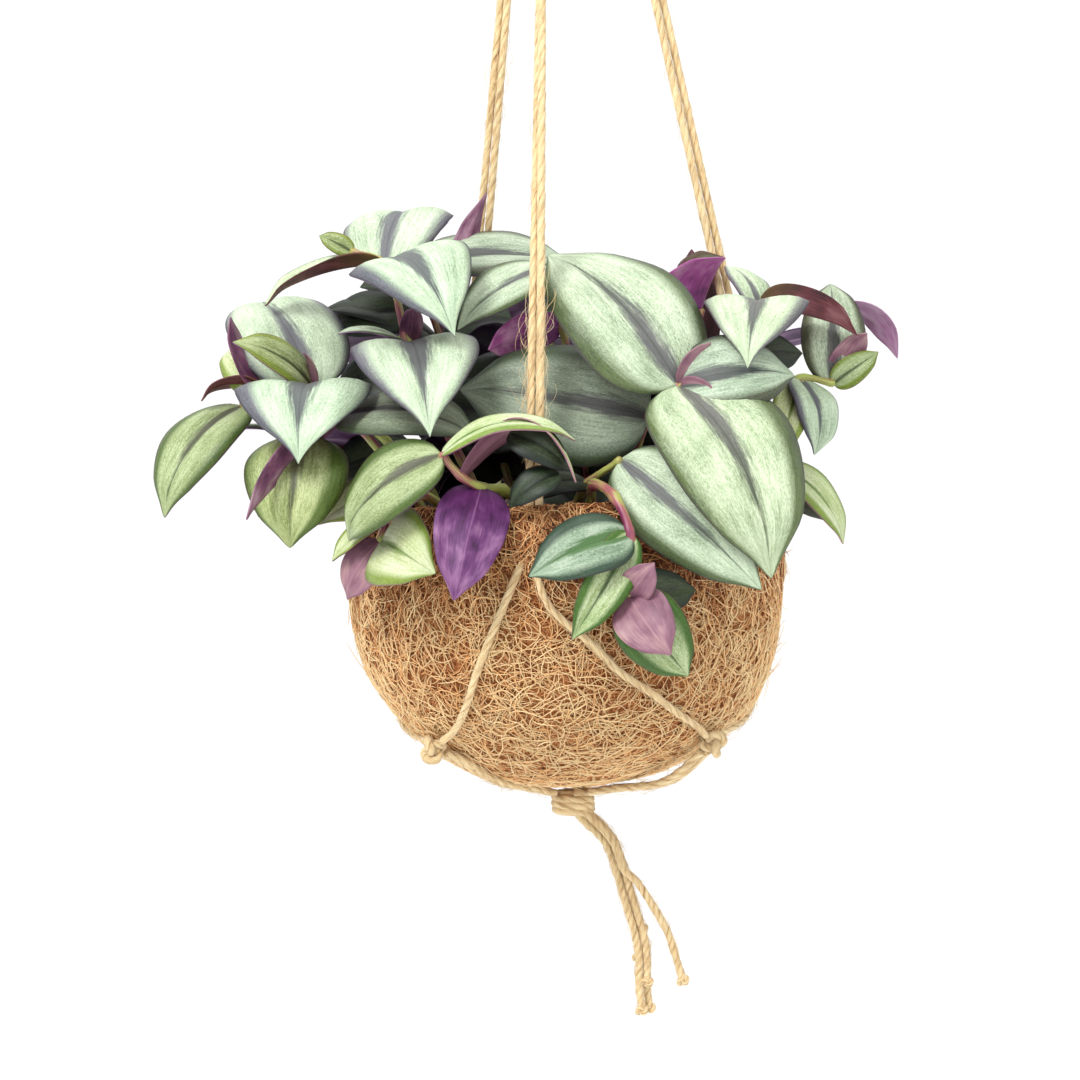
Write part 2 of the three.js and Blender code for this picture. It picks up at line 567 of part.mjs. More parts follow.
place("bottom_knot", turned([[0, knotLow[1]], ...BOTTOM_KNOT, [0, knotHigh[1]]], 16), finish.jute);
TAILS.forEach((tail, i) => {
  const steps = tail.stray ? 11 : tail.points;
  place(`tail_${i + 1}`, tube(tailStrand(tail), TAIL, CORD_SIDES, steps), finish.jute);
});
function topKnot() {
  const { radius, half } = TOP_KNOT;
  const profile = [
    [0, -half], [0.8 * radius, -half], [radius, -0.5 * half], [0.86 * radius, 0],
    [radius, 0.5 * half], [0.7 * radius, half], [0, half],
  ];
  return turned(profile, 16).translate(MEET_ASIDE, 0, MEET_HEIGHT);
}
place("top_knot", topKnot(), finish.jute);
// The loop, standing on the top knot with both its ends.
function hangingLoop() {
  const foot = MEET_HEIGHT + TOP_KNOT.half + 1.6;
  const top = HANG_HEIGHT + LOOP_CORD / 2;
  const rise = top - foot;
  const half = [
    [3.6, 0], [0.62 * LOOP_HALF_WIDTH, 0.18], [0.97 * LOOP_HALF_WIDTH, 0.46],
    [0.9 * LOOP_HALF_WIDTH, 0.76], [0.52 * LOOP_HALF_WIDTH, 0.95],
  ];
  const left = half.map(([x, share]) => [MEET_ASIDE - x, 0, foot + share * rise]);
  const right = half.map(([x, share]) => [MEET_ASIDE + x, 0, foot + share * rise]).reverse();
  return tube([...left, [MEET_ASIDE, 0, top], ...right], LOOP_CORD, CORD_SIDES, 20);
}
place("hanging_loop", hangingLoop(), finish.jute);
for (const one of stems) place(one.name, stemSolid(one), finish.leaf);

const plant = new THREE.Group();
plant.add(pot);
export default plant;
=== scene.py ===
"""A tradescantia in a hanging coir bowl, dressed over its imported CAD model.

Lengths are millimetres in the bowl's own frame (origin under the bowl, -Y the front, +X the right,
+Z up) and become metres in the model's frame, whose origin is inside the hanging loop, in to_metres.
"""

import json
import math
import random
from functools import partial

import bpy
import numpy as np
from mathutils import Matrix, Vector

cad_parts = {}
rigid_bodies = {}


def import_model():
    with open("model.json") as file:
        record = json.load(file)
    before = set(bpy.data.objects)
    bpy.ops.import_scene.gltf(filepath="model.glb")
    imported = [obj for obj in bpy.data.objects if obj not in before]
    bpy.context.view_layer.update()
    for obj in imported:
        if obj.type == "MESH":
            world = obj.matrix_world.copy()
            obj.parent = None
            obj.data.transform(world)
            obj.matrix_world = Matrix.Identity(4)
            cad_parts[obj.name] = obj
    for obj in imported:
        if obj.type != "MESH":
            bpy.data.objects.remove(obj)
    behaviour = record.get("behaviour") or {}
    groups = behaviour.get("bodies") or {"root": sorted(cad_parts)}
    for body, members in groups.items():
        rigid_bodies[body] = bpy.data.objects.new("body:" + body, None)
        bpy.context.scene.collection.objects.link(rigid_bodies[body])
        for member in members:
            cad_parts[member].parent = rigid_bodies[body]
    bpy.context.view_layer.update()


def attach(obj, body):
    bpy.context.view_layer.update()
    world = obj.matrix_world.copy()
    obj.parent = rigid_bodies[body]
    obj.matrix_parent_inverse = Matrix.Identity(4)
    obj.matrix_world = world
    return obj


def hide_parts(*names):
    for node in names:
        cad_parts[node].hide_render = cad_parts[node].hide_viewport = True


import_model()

bl_info = {
    "name": "Hanging tradescantia",
    "version": (1, 0, 0),
    "blender": (4, 5, 0),
    "location": "View3D > Sidebar > Plant",
    "description": "Builds a tradescantia in a hanging coir bowl over its CAD frame",
    "category": "Add Mesh",
}

MM = 0.001
POT_ORIGIN = np.array([-1.5, 0.0, -545.0])  # the bowl's underside, from the eye of the hanging loop


def to_metres(points):
    return (np.asarray(points, float) + POT_ORIGIN) * MM


def linear(hex_colour):
    """An sRGB hex value as linear RGBA."""
    out = []
    for i in (1, 3, 5):
        c = int(hex_colour[i:i + 2], 16) / 255
        out.append(c / 12.92 if c <= 0.04045 else ((c + 0.055) / 1.055) ** 2.4)
    return (*out, 1.0)


def around(azimuth, radius, height):
    """A point at an azimuth round the bowl, counted from the front towards +X."""
    a = math.radians(azimuth)
    return [radius * math.sin(a), -radius * math.cos(a), height]


def unit(v):
    v = np.asarray(v, float)
    return v / np.maximum(np.linalg.norm(v, axis=-1, keepdims=True), 1e-9)


def smoothstep(x, low, high):
    t = np.clip((np.asarray(x, float) - low) / (high - low), 0, 1)
    return t * t * (3 - 2 * t)


def smooth_route(points, spacing):
    """Points an even distance apart on the centripetal Catmull-Rom curve through the given ones."""
    p = np.asarray(points, float)
    p = np.vstack([2 * p[0] - p[1], p, 2 * p[-1] - p[-2]])
    dt = np.maximum(np.linalg.norm(np.diff(p, axis=0), axis=1) ** 0.5, 1e-4)
    dense = []
    for i in range(1, len(p) - 2):
        a, b, c = dt[i - 1], dt[i], dt[i + 1]
        m1 = ((p[i] - p[i - 1]) / a - (p[i + 1] - p[i - 1]) / (a + b) + (p[i + 1] - p[i]) / b) * b
        m2 = ((p[i + 1] - p[i]) / b - (p[i + 2] - p[i]) / (b + c) + (p[i + 2] - p[i + 1]) / c) * b
        u = np.linspace(0, 1, 24, endpoint=False)[:, None]
        dense.append(
            (2 * u**3 - 3 * u**2 + 1) * p[i] + (u**3 - 2 * u**2 + u) * m1
            + (-2 * u**3 + 3 * u**2) * p[i + 1] + (u**3 - u**2) * m2
        )
    dense = np.vstack([*dense, p[-2][None]])
    run = np.concatenate([[0], np.cumsum(np.linalg.norm(np.diff(dense, axis=0), axis=1))])
    count = max(2, int(round(run[-1] / spacing)) + 1)
    at = np.linspace(0, run[-1], count)
    return np.stack([np.interp(at, run, dense[:, k]) for k in range(3)], axis=1)


def length_of(points):
    return float(np.linalg.norm(np.diff(np.asarray(points, float), axis=0), axis=1).sum())


# ---- Sizes: the CAD model's, apart from the few that follow the photograph more closely ----
BOWL_OUTSIDE = [
    (22, 0.8), (34, 3.2), (43, 7), (53, 12.8), (61, 18.4), (68, 25.4),
    (74, 33.5), (80.5, 47), (84.8, 64), (86, 80), (83.8, 102),
]
RIM = [(81.8, 108), (78, 110.8), (74.6, 108.4)]
BOWL_INSIDE = [(74, 103), (76.4, 84), (74.6, 62), (66.5, 42), (52, 25), (32, 13)]
BOWL_FLOOR = 10
BOWL_WAVER = 0.7
FLAT = 3.2  # how far the bowl is drawn in low on its left, where a strand presses on it
DRAWN_UP = 2  # how far its underside is higher at the right front
EAR_OUT, EAR_WIDTH, EAR_FOOT = 4, 13, 78
SOIL_TOP, SOIL_CROWN = 96, 3.5
GAP = 0.3
PAIR = 4.1  # between the two strands under the bowl
MEET_HEIGHT, MEET_ASIDE, LEG_SPREAD = 499, 1.5, 4.5
TOP_KNOT_HALF = 8
LOOP_TOP, LOOP_HALF_WIDTH = 548, 13
LEG_HOLE_RADIUS, LEG_HOLE_HEIGHT, LEG_MOUTH = 79, 97, 113
SIDE_KNOT_RADIUS, SIDE_KNOT_OUT, SIDE_KNOT_HEIGHT = 4.8, 69.5, 18.8
LEGS = [  # name, azimuth, how high it draws up the rim, whether its strands meet one behind the other;
    # the front one's ear is lower than its solid's
    ("front", -9.5, -0.5, True), ("right", 94, 3, False), ("back", -147, 3, True),
]
UNDER = [(57, 14.4), (51, 11.2), (43, 6.8), (34, 3), (20, 0), (10.5, -2.4)]
SIDE_KNOTS = [  # name, azimuth, radius and height of the strands that run on from it under the bowl
    ("left", -50, UNDER),
    ("right", 51, [(60, 11.4), (56, 8.2), (49, 4.2), (41.5, 1.7), (32, 0.5), (20, -0.8), (10.5, -2.4)]),
    ("rear", 160, UNDER),
]
WALL_ROUTES = [  # leg, side, side knot, azimuth and height of points on the bowl
    (0, -1, 0, [(-12.6, 86), (-16, 75), (-20, 63), (-25.6, 49), (-31, 38), (-41, 27)]),
    (0, 1, 1, [(-7.6, 84), (-5.2, 74), (0, 66), (5.5, 59), (12, 49.5), (21, 41.5), (32, 32.5), (43, 26.5)]),
    (1, -1, 1, [(95, 86), (101, 74), (105, 62), (105, 50), (101, 39), (93, 31.5), (82, 26.5), (72, 23.5),
                (62, 21.8)]),
    (1, 1, 2, [(99, 86), (105, 73), (111, 62), (117, 53), (124, 45), (132, 37.5), (140, 31.5), (147, 27.5)]),
    (2, 1, 0, [(-144, 86), (-141, 73), (-135, 61), (-127, 50), (-117, 40.5), (-105, 32), (-91, 26.5),
               (-76, 23), (-63, 21.8)]),
    (2, -1, 2, [(-149.5, 86), (-157, 72), (-166, 59), (-175, 46), (-184, 35.5), (-190, 28.5)]),
]
TAIL_ROUTE = [
    (4.7, -12.4), (11.2, -18.8), (15.5, -25), (17.8, -32), (20.2, -41),
    (23, -51), (25.5, -60), (26.8, -70), (26.6, -80), (27.5, -91),
]
TAIL_STRAY = [(19.5, -33.5), (24.5, -38.5), (28, -43.5), (33, -52), (37, -60), (40, -70), (42.5, -79)]
TAILS = [  # across, depth, how many of the route's points it follows, whether it strays
    (-1.6, -1.6, 10, False), (1.6, -1.6, 9, False), (-1.6, 1.6, 8, False),
    (1.6, 1.6, 10, False), (1.6, 4.8, 7, False), (1.2, -4.9, 3, True),
]
STRAND, WALL_STRAND = 3.2, 2.9  # the spun cord, which is slighter than its solid
STRAND_PAIRS = (3.5, 4.6, 3.5)  # between the strands of each leg
HOLE_SHIFT = (0.8, 3, -1)  # how far each leg's foot stands to the right of its solid's, as in the photo
BEDDED = 1.0  # a wall strand's middle above the bowl's surface: pressed into the fibres
STEM = 4.4

# ---- The plant: each stem's points, and its leaves as [stem point, tip, where the upper face looks,
# width, arch, fold, twist, colour of the upper side, colour of the underside] ----
STEMS = {
    "stem_left_top": ([
        (-26, -8, 98), (-34, -14, 116), (-50, -26, 150), (-60, -30, 175), (-69, -24, 207), (-82, -16, 213),
    ], [
        (3, (-50, -84, 137), (0, -0.5, 0.85), 48, 14, 0.16, 0, "heart", "purple"),
        (3, (-86, -45, 179), (0, -0.35, 0.95), 14, 3, 0.1, 0, "silver", "purple"),
        (3, (-57, -42, 188), (0, 0.9, 0.3), 9, 2, 0.4, 0, "dusk", "violet"),
        (4, (-40, -72, 175), (-0.05, -0.58, 0.83), 46, 14, 0.14, 0, "heart", "purple"),
        (4, (-54, 20, 217), (-0.15, -0.4, 0.9), 45, 18, 0.05, 0, "lilac", "purple"),
        (4, (-119, -10, 195), (0, 0.12, 1), 17, 4, 0.7, -50, "lilac", "wine"),
        (5, (-95, -14, 220), (-0.3, -0.8, 0.4), 8.5, 1, 0.3, 0, "rosy", "wine"),
    ]),
    "stem_left": ([
        (-44, 0, 98), (-54, -6, 118), (-78, -18, 146), (-98, -24, 159), (-116, -24, 158), (-126, -22, 153),
    ], [
        (3, (-126, 22, 198), (0.1, -0.62, 0.8), 47, 12, 0.08, 0, "lilac", "purple"),
        (3, (-125, -50, 177), (0.2, -0.8, 0.55), 19, 5, 0.1, 0, "rosy", "purple"),
        (3, (-100, -34, 173), (0.7, 0.7, 0), 6, 1, 0.3, 0, "dusk", "pink"),
        (3, (-100, -72, 129), (0, -0.5, 0.87), 52, 13, 0.12, 0, "heart", "purple"),
        (4, (-129, -32, 187), (-0.85, 0.45, -0.2), 14, 2, 0.2, 0, "dusk", "violet"),
        (4, (-134, -6, 177), (-0.3, -0.9, 0.3), 18, 5, 0.1, 0, "lime", "pink"),
        (4, (-142, -28, 156), (0, 0.3, 0.95), 13, 5, 0.2, 0, "dusk", "wine"),
        (5, (-156, -40, 110), (-0.45, -0.75, 0.45), 33, 9, 0.08, 0, "green", "purple"),
    ]),
    "stem_left_low": ([(-50, -24, 98), (-62, -32, 120), (-86, -42, 147), (-100, -42, 140)], [
        (2, (-119, -80, 108), (-0.65, 0.5, 0.4), 14, 4, 0.3, 0, "green", "violet"),
        (2, (-32, -62, 137), (0, -0.6, 0.8), 33, 7, 0.1, 0, "grey", "shade"),
        (3, (-105, -58, 97), (-0.1, -0.95, 0.2), 40, 9, 0.06, 0, "green", "purple"),
        (1, (-95, -50, 106), (-0.2, -0.85, 0.45), 20, 5, 0.1, 0, "lime", "pink"),
    ]),
    "stem_front_left": ([
        (-18, -44, 98), (-18, -52, 110), (-24, -66, 117), (-32, -78, 118), (-39, -84, 122), (-46, -86, 130),
    ], [
        (3, (-42, -104, 77), (0, 0.95, 0.2), 27, -6, 0.12, 0, "dusk", "vivid"),
        (4, (4, -97, 119), (0, 0.35, 0.94), 16, 20, 0.15, 0, "lime", "pink"),
        (5, (4, -86, 135), (0, -0.45, 0.9), 17, 10, 0.1, 0, "lime", "pink"),
        (5, (-84, -72, 99), (-0.3, -0.8, 0.5), 31, 9, 0.1, 0, "green", "purple"),
    ]),
    "stem_low_left": ([(-38, -38, 98), (-46, -46, 110), (-56, -58, 116), (-66, -64, 110), (-70, -65, 99)], [
        (4, (-49, -96, 87), (-0.66, -0.6, 0.43), 32, 6, 0.1, 0, "lime", "pink"),
        (4, (-84, -60, 77), (0.6, 0.75, 0.1), 18, -4, 0.3, 0, "dusk", "pink"),
        (3, (-89, -64, 92), (-0.5, -0.7, 0.4), 11, 2, 0.3, 0, "lime", "wine"),
    ]),
    "stem_top_left": ([(-18, 14, 98), (-24, 20, 126), (-48, 26, 178), (-60, 32, 213)], [
        (3, (6, 30, 212), (0, -0.6, 0.8), 36, 4, 0.2, 0, "banded", "purple"),
        (2, (-97, 6, 194), (0, -0.5, 0.85), 26, 6, 0.1, 0, "dark", "shade"),
        (1, (-62, 12, 146), (0, -0.8, 0.5), 24, 5, 0.1, 0, "dark", "shade"),
        (1, (8, 24, 158), (0, -0.8, 0.5), 28, 5, 0.1, 0, "dark", "shade"),
        (2, (-31, 40, 243), (-0.5, 0.8, 0), 14, 2, 0.4, 0, "silver", "violet"),
    ]),
    "stem_top": ([(6, -2, 98), (8, -2, 126), (0, -18, 182), (-4, -20, 204)], [
        (3, (-41, -47, 180), (0.1, -0.65, 0.75), 24, 6, 0.1, 0, "silver", "purple"),
        (2, (-29, -48, 171), (0, 0.9, 0.3), 16, 3, 0.2, 0, "dusk", "magenta"),
        (1, (-20, -14, 146), (0, -0.8, 0.5), 26, 5, 0.1, 0, "dark", "shade"),
        (1, (34, -10, 148), (0, -0.8, 0.5), 26, 5, 0.1, 0, "dark", "shade"),
    ]),
    "stem_right_mid": ([(20, -14, 98), (24, -26, 118), (32, -50, 144), (43, -62, 155)], [
        (2, (-41, -40, 158), (0, -0.94, 0.34), 50, 4, 0.06, 0, "grey", "purple"),
        (3, (-5, -34, 210), (0.3, -0.85, 0.45), 57, 8, 0.1, 0, "silver", "purple"),
        (3, (75, -92, 82), (0.3, -0.9, 0.3), 54, 14, 0.1, 0, "silver", "purple"),
        (3, (87, -58, 158), (0, -0.85, 0.5), 35, 6, 0.1, 0, "banded", "purple"),
        (3, (55, -60, 171), (-0.8, 0.5, 0), 9, 1, 0.3, 0, "dusk", "pink"),
        (3, (56, -70, 151), (0.3, 0.8, 0.5), 8, 1, 0.3, 0, "dusk", "pink"),
    ]),
    "stem_centre": ([(2, -24, 98), (4, -38, 111), (8, -56, 119), (20, -70, 127)], [
        (3, (70, -90, 78), (-0.2, -0.9, 0.3), 35, 9, 0.1, 0, "silver", "purple"),
        (2, (-14, -62, 113), (0, -0.5, 0.85), 18, 4, 0.1, 0, "dark", "shade"),
        (1, (-20, -30, 120), (0, -0.7, 0.7), 20, 4, 0.1, 0, "dark", "shade"),
        (1, (33, -40, 121), (0, -0.7, 0.7), 19, 4, 0.1, 0, "dark", "shade"),
    ]),
    "stem_right_top": ([(40, -2, 98), (46, -4, 124), (66, -14, 165), (77, -22, 187), (100, 20, 190)], [
        (3, (68, -70, 161), (0, -0.45, 0.9), 40, 12, 0.16, 0, "heart", "purple"),
        (3, (117, -12, 177), (0, 0.7, 0.7), 18, 4, 0.9, 30, "silver", "wine"),
        (3, (66, -3, 205.5), (0.5, -0.75, 0.4), 18, 4, 0.1, 0, "lilac", "purple"),
        (4, (137, 20, 169), (0, -0.3, 0.95), 17, 10, 0.1, -75, "silver", "blush"),
    ]),
    "stem_right_rear": ([(30, 14, 98), (38, 14, 126), (52, 8, 168), (56, 4, 189)], [
        (3, (65, -6, 209), (-0.95, 0.3, 0), 25, 1, 1.5, 0, "dusk", "magenta"),
        (2, (54, 12, 215), (-0.3, 0.9, 0.2), 24, -3, 0.2, 0, "dusk", "burgundy"),
        (2, (16, 10, 186), (0, -0.8, 0.5), 26, 5, 0.1, 0, "dark", "shade"),
    ]),
    "stem_far_right": ([(46, -16, 98), (55, -16, 118), (84, -10, 147), (94, -4, 160), (108, 0, 158)], [
        (3, (99, -14, 129), (0.6, -0.75, 0.2), 24, 6, 0.1, 0, "lilac", "purple"),
        (4, (110, 18, 200), (0, -0.95, 0.3), 26, 8, 0.08, 0, "banded", "purple"),
        (4, (121, -8, 178), (-0.3, 0.9, 0), 13, 2, 0.3, 0, "rosy", "pink"),
        (4, (126, -4, 170), (0.3, -0.9, 0.2), 12, 1, 0.3, 0, "rosy", "pink"),
        (3, (82, -24, 127), (0.2, -0.9, 0.3), 16, 4, 0.1, 0, "lime", "pink"),
    ]),
    "stem_low_right": ([(56, -22, 98), (64, -28, 116), (78, -36, 126)], [
        (2, (107, -42, 94), (0.3, -0.7, 0.65), 18, 7, 0.15, 0, "lime", "pink"),
        (2, (101, -28, 103), (0, -0.3, -0.95), 11, 3, 0.1, 0, "dark", "wine"),
        (2, (87, -48, 126), (0.6, -0.7, 0.2), 8, 1, 0.3, 0, "silver", "purple"),
    ]),
    "stem_front_right": ([
        (10, -50, 98), (9, -58, 111), (10, -72, 118), (17, -88, 113), (22, -95, 99.5), (21, -97, 77),
    ], [
        (4, (-15, -104, 85), (0.2, -0.8, 0.5), 25, 5, 0.1, 0, "deep", "purple"),
        (4, (0, -104, 62), (0.3, -0.9, 0.2), 18, 3, 0.35, 0, "fresh", "purple"),
        (5, (35, -111, 56), (0.1, 1, 0), 22, -3, 0.1, 0, "dusk", "pink"),
        (5, (30, -108, 89), (0.1, 1, 0), 13, -2, 0.1, 0, "dusk", "pink"),
        (5, (42, -99, 47), (-0.4, -0.8, 0.4), 26, 4, 0.1, 0, "fresh", "purple"),
        (5, (46, -88, 79), (0, -0.9, 0.4), 19, 0.5, 0.1, 0, "dark", "purple"),
    ]),
}
REAR_STEMS = [  # azimuth, radius of its root, height of its end, radius of its end, seed
    (118, 48, 174, 94, 95), (156, 48, 138, 120, 8), (178, 30, 204, 80, 1),
    (206, 50, 130, 118, 161), (236, 42, 186, 94, 3), (272, 54, 138, 90, 118),
]
LEAN = (0, 0.12, 0.42, 0.72, 1)
CLIMB = (0, 0.3, 0.78, 1, 0.94)
GROUND = 98
# The lowest leaf is of the dark kind: painted shade deep in the plant.
REAR_COLOURS = ("dark", "silver", "green", "silver")  # from the lowest leaf to the one at the end
ROWS, COLUMNS = 26, 12  # of each leaf's mesh
INNER_LEAVES = 60  # more in the shade, placed by chance
# Dark leaves put where there is only shade inside the plant: painted shade.
INNER_PLACED = [  # base, tip and width of those that close gaps seen from the front
    ((-60, 10, 191), (-97, 14, 187), 24), ((-56, 5, 168), (-93, 8, 160), 28), ((-50, 20, 204), (-82, 22, 203), 18),
    ((-20, 10, 187), (-50, 14, 180), 24), ((-10, 5, 174), (-40, 8, 166), 24), ((-60, -5, 134), (-94, -8, 126), 26),
    ((64, -26, 164), (94, -20, 169), 22), ((20, 20, 196), (-14, 24, 190), 26), ((-30, 0, 150), (-70, 6, 148), 26),
    # These two hide the front leg's foot, standing in for the shade that it goes into.
    ((-21, -88, 137), (1, -88, 123), 15), ((-3, -89, 122), (-22, -89, 110), 13),
]
MOST_FIBRES = 5000  # of coir in one piece
FIBRE_DEPTH = 1.5


def drawn(seed):
    """Numbers from 0 to 1 drawn from a seed, as the CAD model draws them."""
    state = [seed * 7919 + 12345]

    def step():
        state[0] = (state[0] * 16807) % 2147483647
        return state[0] / 2147483647

    for _ in range(5):
        step()
    return step


def rear_stem(azimuth, root, height, reach, seed):
    """A stem at the back by the CAD model's rule."""
    step = drawn(seed)

    def between(low, high):
        return low + (high - low) * step()

    points = []
    for i, out in enumerate(LEAN):
        angle = azimuth + (0 if i < 2 else between(-8, 8))
        points.append(around(angle, root + (reach - root) * out, GROUND + (height - GROUND) * CLIMB[i]))
    leaves = []
    end = len(points) - 1
    for i in range(1, end + 1):
        side = 1 if i % 2 else -1
        heading = azimuth + side * (between(0, 30) if i == end else between(40, 100))
        length = between(32, 44) if i == 1 else between(50, 70)
        drop = between(-0.62, 0.16) * length
        x, y, _ = around(heading, math.sqrt(length**2 - drop**2), 0)
        tip = (points[i][0] + x, points[i][1] + y, points[i][2] + drop)
        out_x, out_y, _ = around(azimuth, 0.45, 0)
        width = length * between(0.4, 0.52)
        arch = between(4, 11)
        fold = between(0.08, 0.2)
        leaves.append((i, tip, (out_x, out_y, 0.85), width, arch, fold, 0, REAR_COLOURS[i - 1], "purple"))
    return points, leaves


for number, row in enumerate(REAR_STEMS):
    STEMS[f"stem_rear_{number + 1}"] = rear_stem(*row)


# ---- The bowl's surface ----
def waver(azimuth, height):
    a = np.radians(azimuth)
    slow = np.sin(3 * a + 1) + 0.6 * np.sin(5 * a + height / 21)
    return BOWL_WAVER * (slow + 0.4 * np.sin(8 * a + height / 13)) * np.minimum(1, height / 30)


def ear(leg, azimuth, height):
    """How much of a leg's ear is felt at an azimuth and height."""
    turn = np.abs((azimuth - leg[1] + 540) % 360 - 180)
    return np.exp(-((turn / EAR_WIDTH) ** 2)) * smoothstep(height, EAR_FOOT, RIM[0][1])


PROFILE = smooth_route(
    [(r, 0, z) for r, z in [(0, 0), *BOWL_OUTSIDE, *RIM, *BOWL_INSIDE[:2]]], 1.0
)[:, [0, 2]]
PROFILE_NORMAL = unit(np.gradient(PROFILE, axis=0))[:, [1, 0]] * np.array([1, -1])
PROFILE_RUN = np.arange(len(PROFILE)) * length_of(PROFILE) / (len(PROFILE) - 1)
RIM_RUN = float(PROFILE_RUN[np.argmax(PROFILE[:, 1])])  # along the profile, up to the top of the rim


def give(azimuth, r, z):
    """How much wider and higher the bowl stands at a place than the plain turned form."""
    wider = waver(azimuth, z) - FLAT * np.exp(3 * (np.cos(np.radians(azimuth + 90)) - 1) - ((z - 24) / 18) ** 2)
    higher = DRAWN_UP * np.exp(3 * (np.cos(np.radians(azimuth - 45)) - 1) - ((r - 42) / 18) ** 2 - (z / 30) ** 2)
    for leg in LEGS:
        pull = ear(leg, azimuth, z)
        wider = wider + EAR_OUT * pull
        higher = higher + leg[2] * pull
    return wider, higher


def bowl_point(azimuth, run, lift):
    """Points on the bowl at an azimuth and a distance along its profile, lifted off it."""
    azimuth, run, lift = np.broadcast_arrays(*(np.asarray(v, float) for v in (azimuth, run, lift)))
    r = np.interp(run, PROFILE_RUN, PROFILE[:, 0])
    z = np.interp(run, PROFILE_RUN, PROFILE[:, 1])
    nr = np.interp(run, PROFILE_RUN, PROFILE_NORMAL[:, 0])
    nz = np.interp(run, PROFILE_RUN, PROFILE_NORMAL[:, 1])
    wider, higher = give(azimuth, r, z)
    r = r + wider * np.minimum(1, r / 10) + lift * nr
    z = z + higher + lift * nz
    a = np.radians(azimuth)
    return np.stack([r * np.sin(a), -r * np.cos(a), z], axis=-1)


def run_at(height):
    """The distance along the profile where the outside wall is at a height."""
    wall = PROFILE_RUN <= RIM_RUN
    return float(np.interp(height, PROFILE[wall][:, 1], PROFILE_RUN[wall]))


# ---- The cords' routes ----
def leg_strand(leg, side):
    """A strand of a leg, from under the top knot to its hole in the wall."""
    _, azimuth, _, deep = LEGS[leg]
    top = MEET_HEIGHT - TOP_KNOT_HALF - 1
    x, y, _ = around(azimuth, LEG_SPREAD, 0)
    start = np.array([x + MEET_ASIDE, y, top])
    hole = np.array(around(azimuth, LEG_HOLE_RADIUS + EAR_OUT, LEG_HOLE_HEIGHT)) + (HOLE_SHIFT[leg], 0, 0)
    mouth = (LEG_MOUTH - LEG_HOLE_HEIGHT) / (top - LEG_HOLE_HEIGHT)
    beside, outward = (np.array(around(azimuth + turn, 1, 0)) for turn in (90, 0))
    points = []
    for share in (0, 0.2, 0.4, 0.6, 0.8, 1 - mouth, 1):
        swing = math.pi / 2 * (1 - min(1, share / 0.9) ** 2) if deep else 0.95
        aside = side * STRAND_PAIRS[leg] / 2 * (math.cos(swing) * beside + math.sin(swing) * outward)
        points.append(start + (hole - start) * share + aside)
    return points


def knot_centre(knot):
    return np.array(around(SIDE_KNOTS[knot][1], SIDE_KNOT_OUT, SIDE_KNOT_HEIGHT))


def on_to_knot(points, centre):
    """Carries a route on towards a side knot, up to its skin."""
    toward = centre - points[-1]
    reach = np.linalg.norm(toward) - SIDE_KNOT_RADIUS - GAP
    return [*points, points[-1] + unit(toward) * reach]


def wall_strand(leg, side, knot, route):
    x, y, z = leg_strand(leg, side)[-1]
    down = [bowl_point(azimuth, run_at(height), BEDDED) for azimuth, height in route]
    return on_to_knot([np.array([x, y, z - 4 * GAP]), *down], knot_centre(knot))


def under_strand(knot, side):
    _, azimuth, run = SIDE_KNOTS[knot]
    beside = np.array(around(azimuth + 90, side * PAIR / 2, 0))
    points = [np.array(around(azimuth, r, z)) + beside for r, z in reversed(run)]
    return on_to_knot(points, knot_centre(knot) + beside)


def tail_strand(across, depth, count, stray):
    points = []
    for i, (x, z) in enumerate(TAIL_ROUTE[:count]):
        x0, z0 = TAIL_ROUTE[max(0, i - 1)]
        x1, z1 = TAIL_ROUTE[min(len(TAIL_ROUTE) - 1, i + 1)]
        long = math.hypot(x1 - x0, z1 - z0)
        points.append((x - across * (z1 - z0) / long, depth, z + across * (x1 - x0) / long))
    return points + ([(x, depth, z) for x, z in TAIL_STRAY] if stray else [])


# ---- What a user may change ----
def colour(name, description, hex_colour):
    return bpy.props.FloatVectorProperty(
        name=name, description=description, default=linear(hex_colour), size=4, min=0, max=1, subtype="COLOR"
    )


def size(name, description, millimetres, low, high):
    return bpy.props.FloatProperty(
        name=name, description=description, default=millimetres * MM, min=low * MM, max=high * MM,
        precision=5, subtype="DISTANCE", unit="LENGTH",
    )


class PLANT_PG_jute(bpy.types.PropertyGroup):
    """Sizes and colours of the jute cords."""

    pale: colour("Pale yarn", "Jute where it catches the light", "#EFDCAE")
    mid: colour("Yarn", "Most of the jute", "#DCBC8A")
    # The darkest stop: brown fibre, and painted shade in the grooves between the yarns.
    deep: colour("Between yarns", "Jute in the grooves between the yarns", "#86603C")
    lay: size("Lay", "Length of cord in which a yarn goes once round", 19, 6, 30)
    hair: size("Hair", "Thickness of the loose hairs", 0.16, 0.05, 0.4)


class PLANT_PG_coir(bpy.types.PropertyGroup):
    """Sizes and colours of the coir bowl."""

    pale: colour("Pale fibre", "The palest fibres, low on the bowl", "#F4D7A4")
    mid: colour("Fibre", "Most of the fibres", "#ECB87C")
    # The red fibre colour is coir's own; the fibres near the rim are pushed onto it and darker as painted shade under
    # the leaves.
    red: colour("Red fibre", "The redder fibres near the rim", "#B87040")
    # The gaps' colour is painted shade in the depth between the fibres.
    dark: colour("Gaps", "The depth between the fibres", "#4E2C18")
    fibre: size("Fibre", "Thickness of a coir fibre", 0.46, 0.1, 1)
    amount: bpy.props.IntProperty(
        name="Fibres", description="Number of fibres on the bowl", default=17000, min=500, max=30000
    )


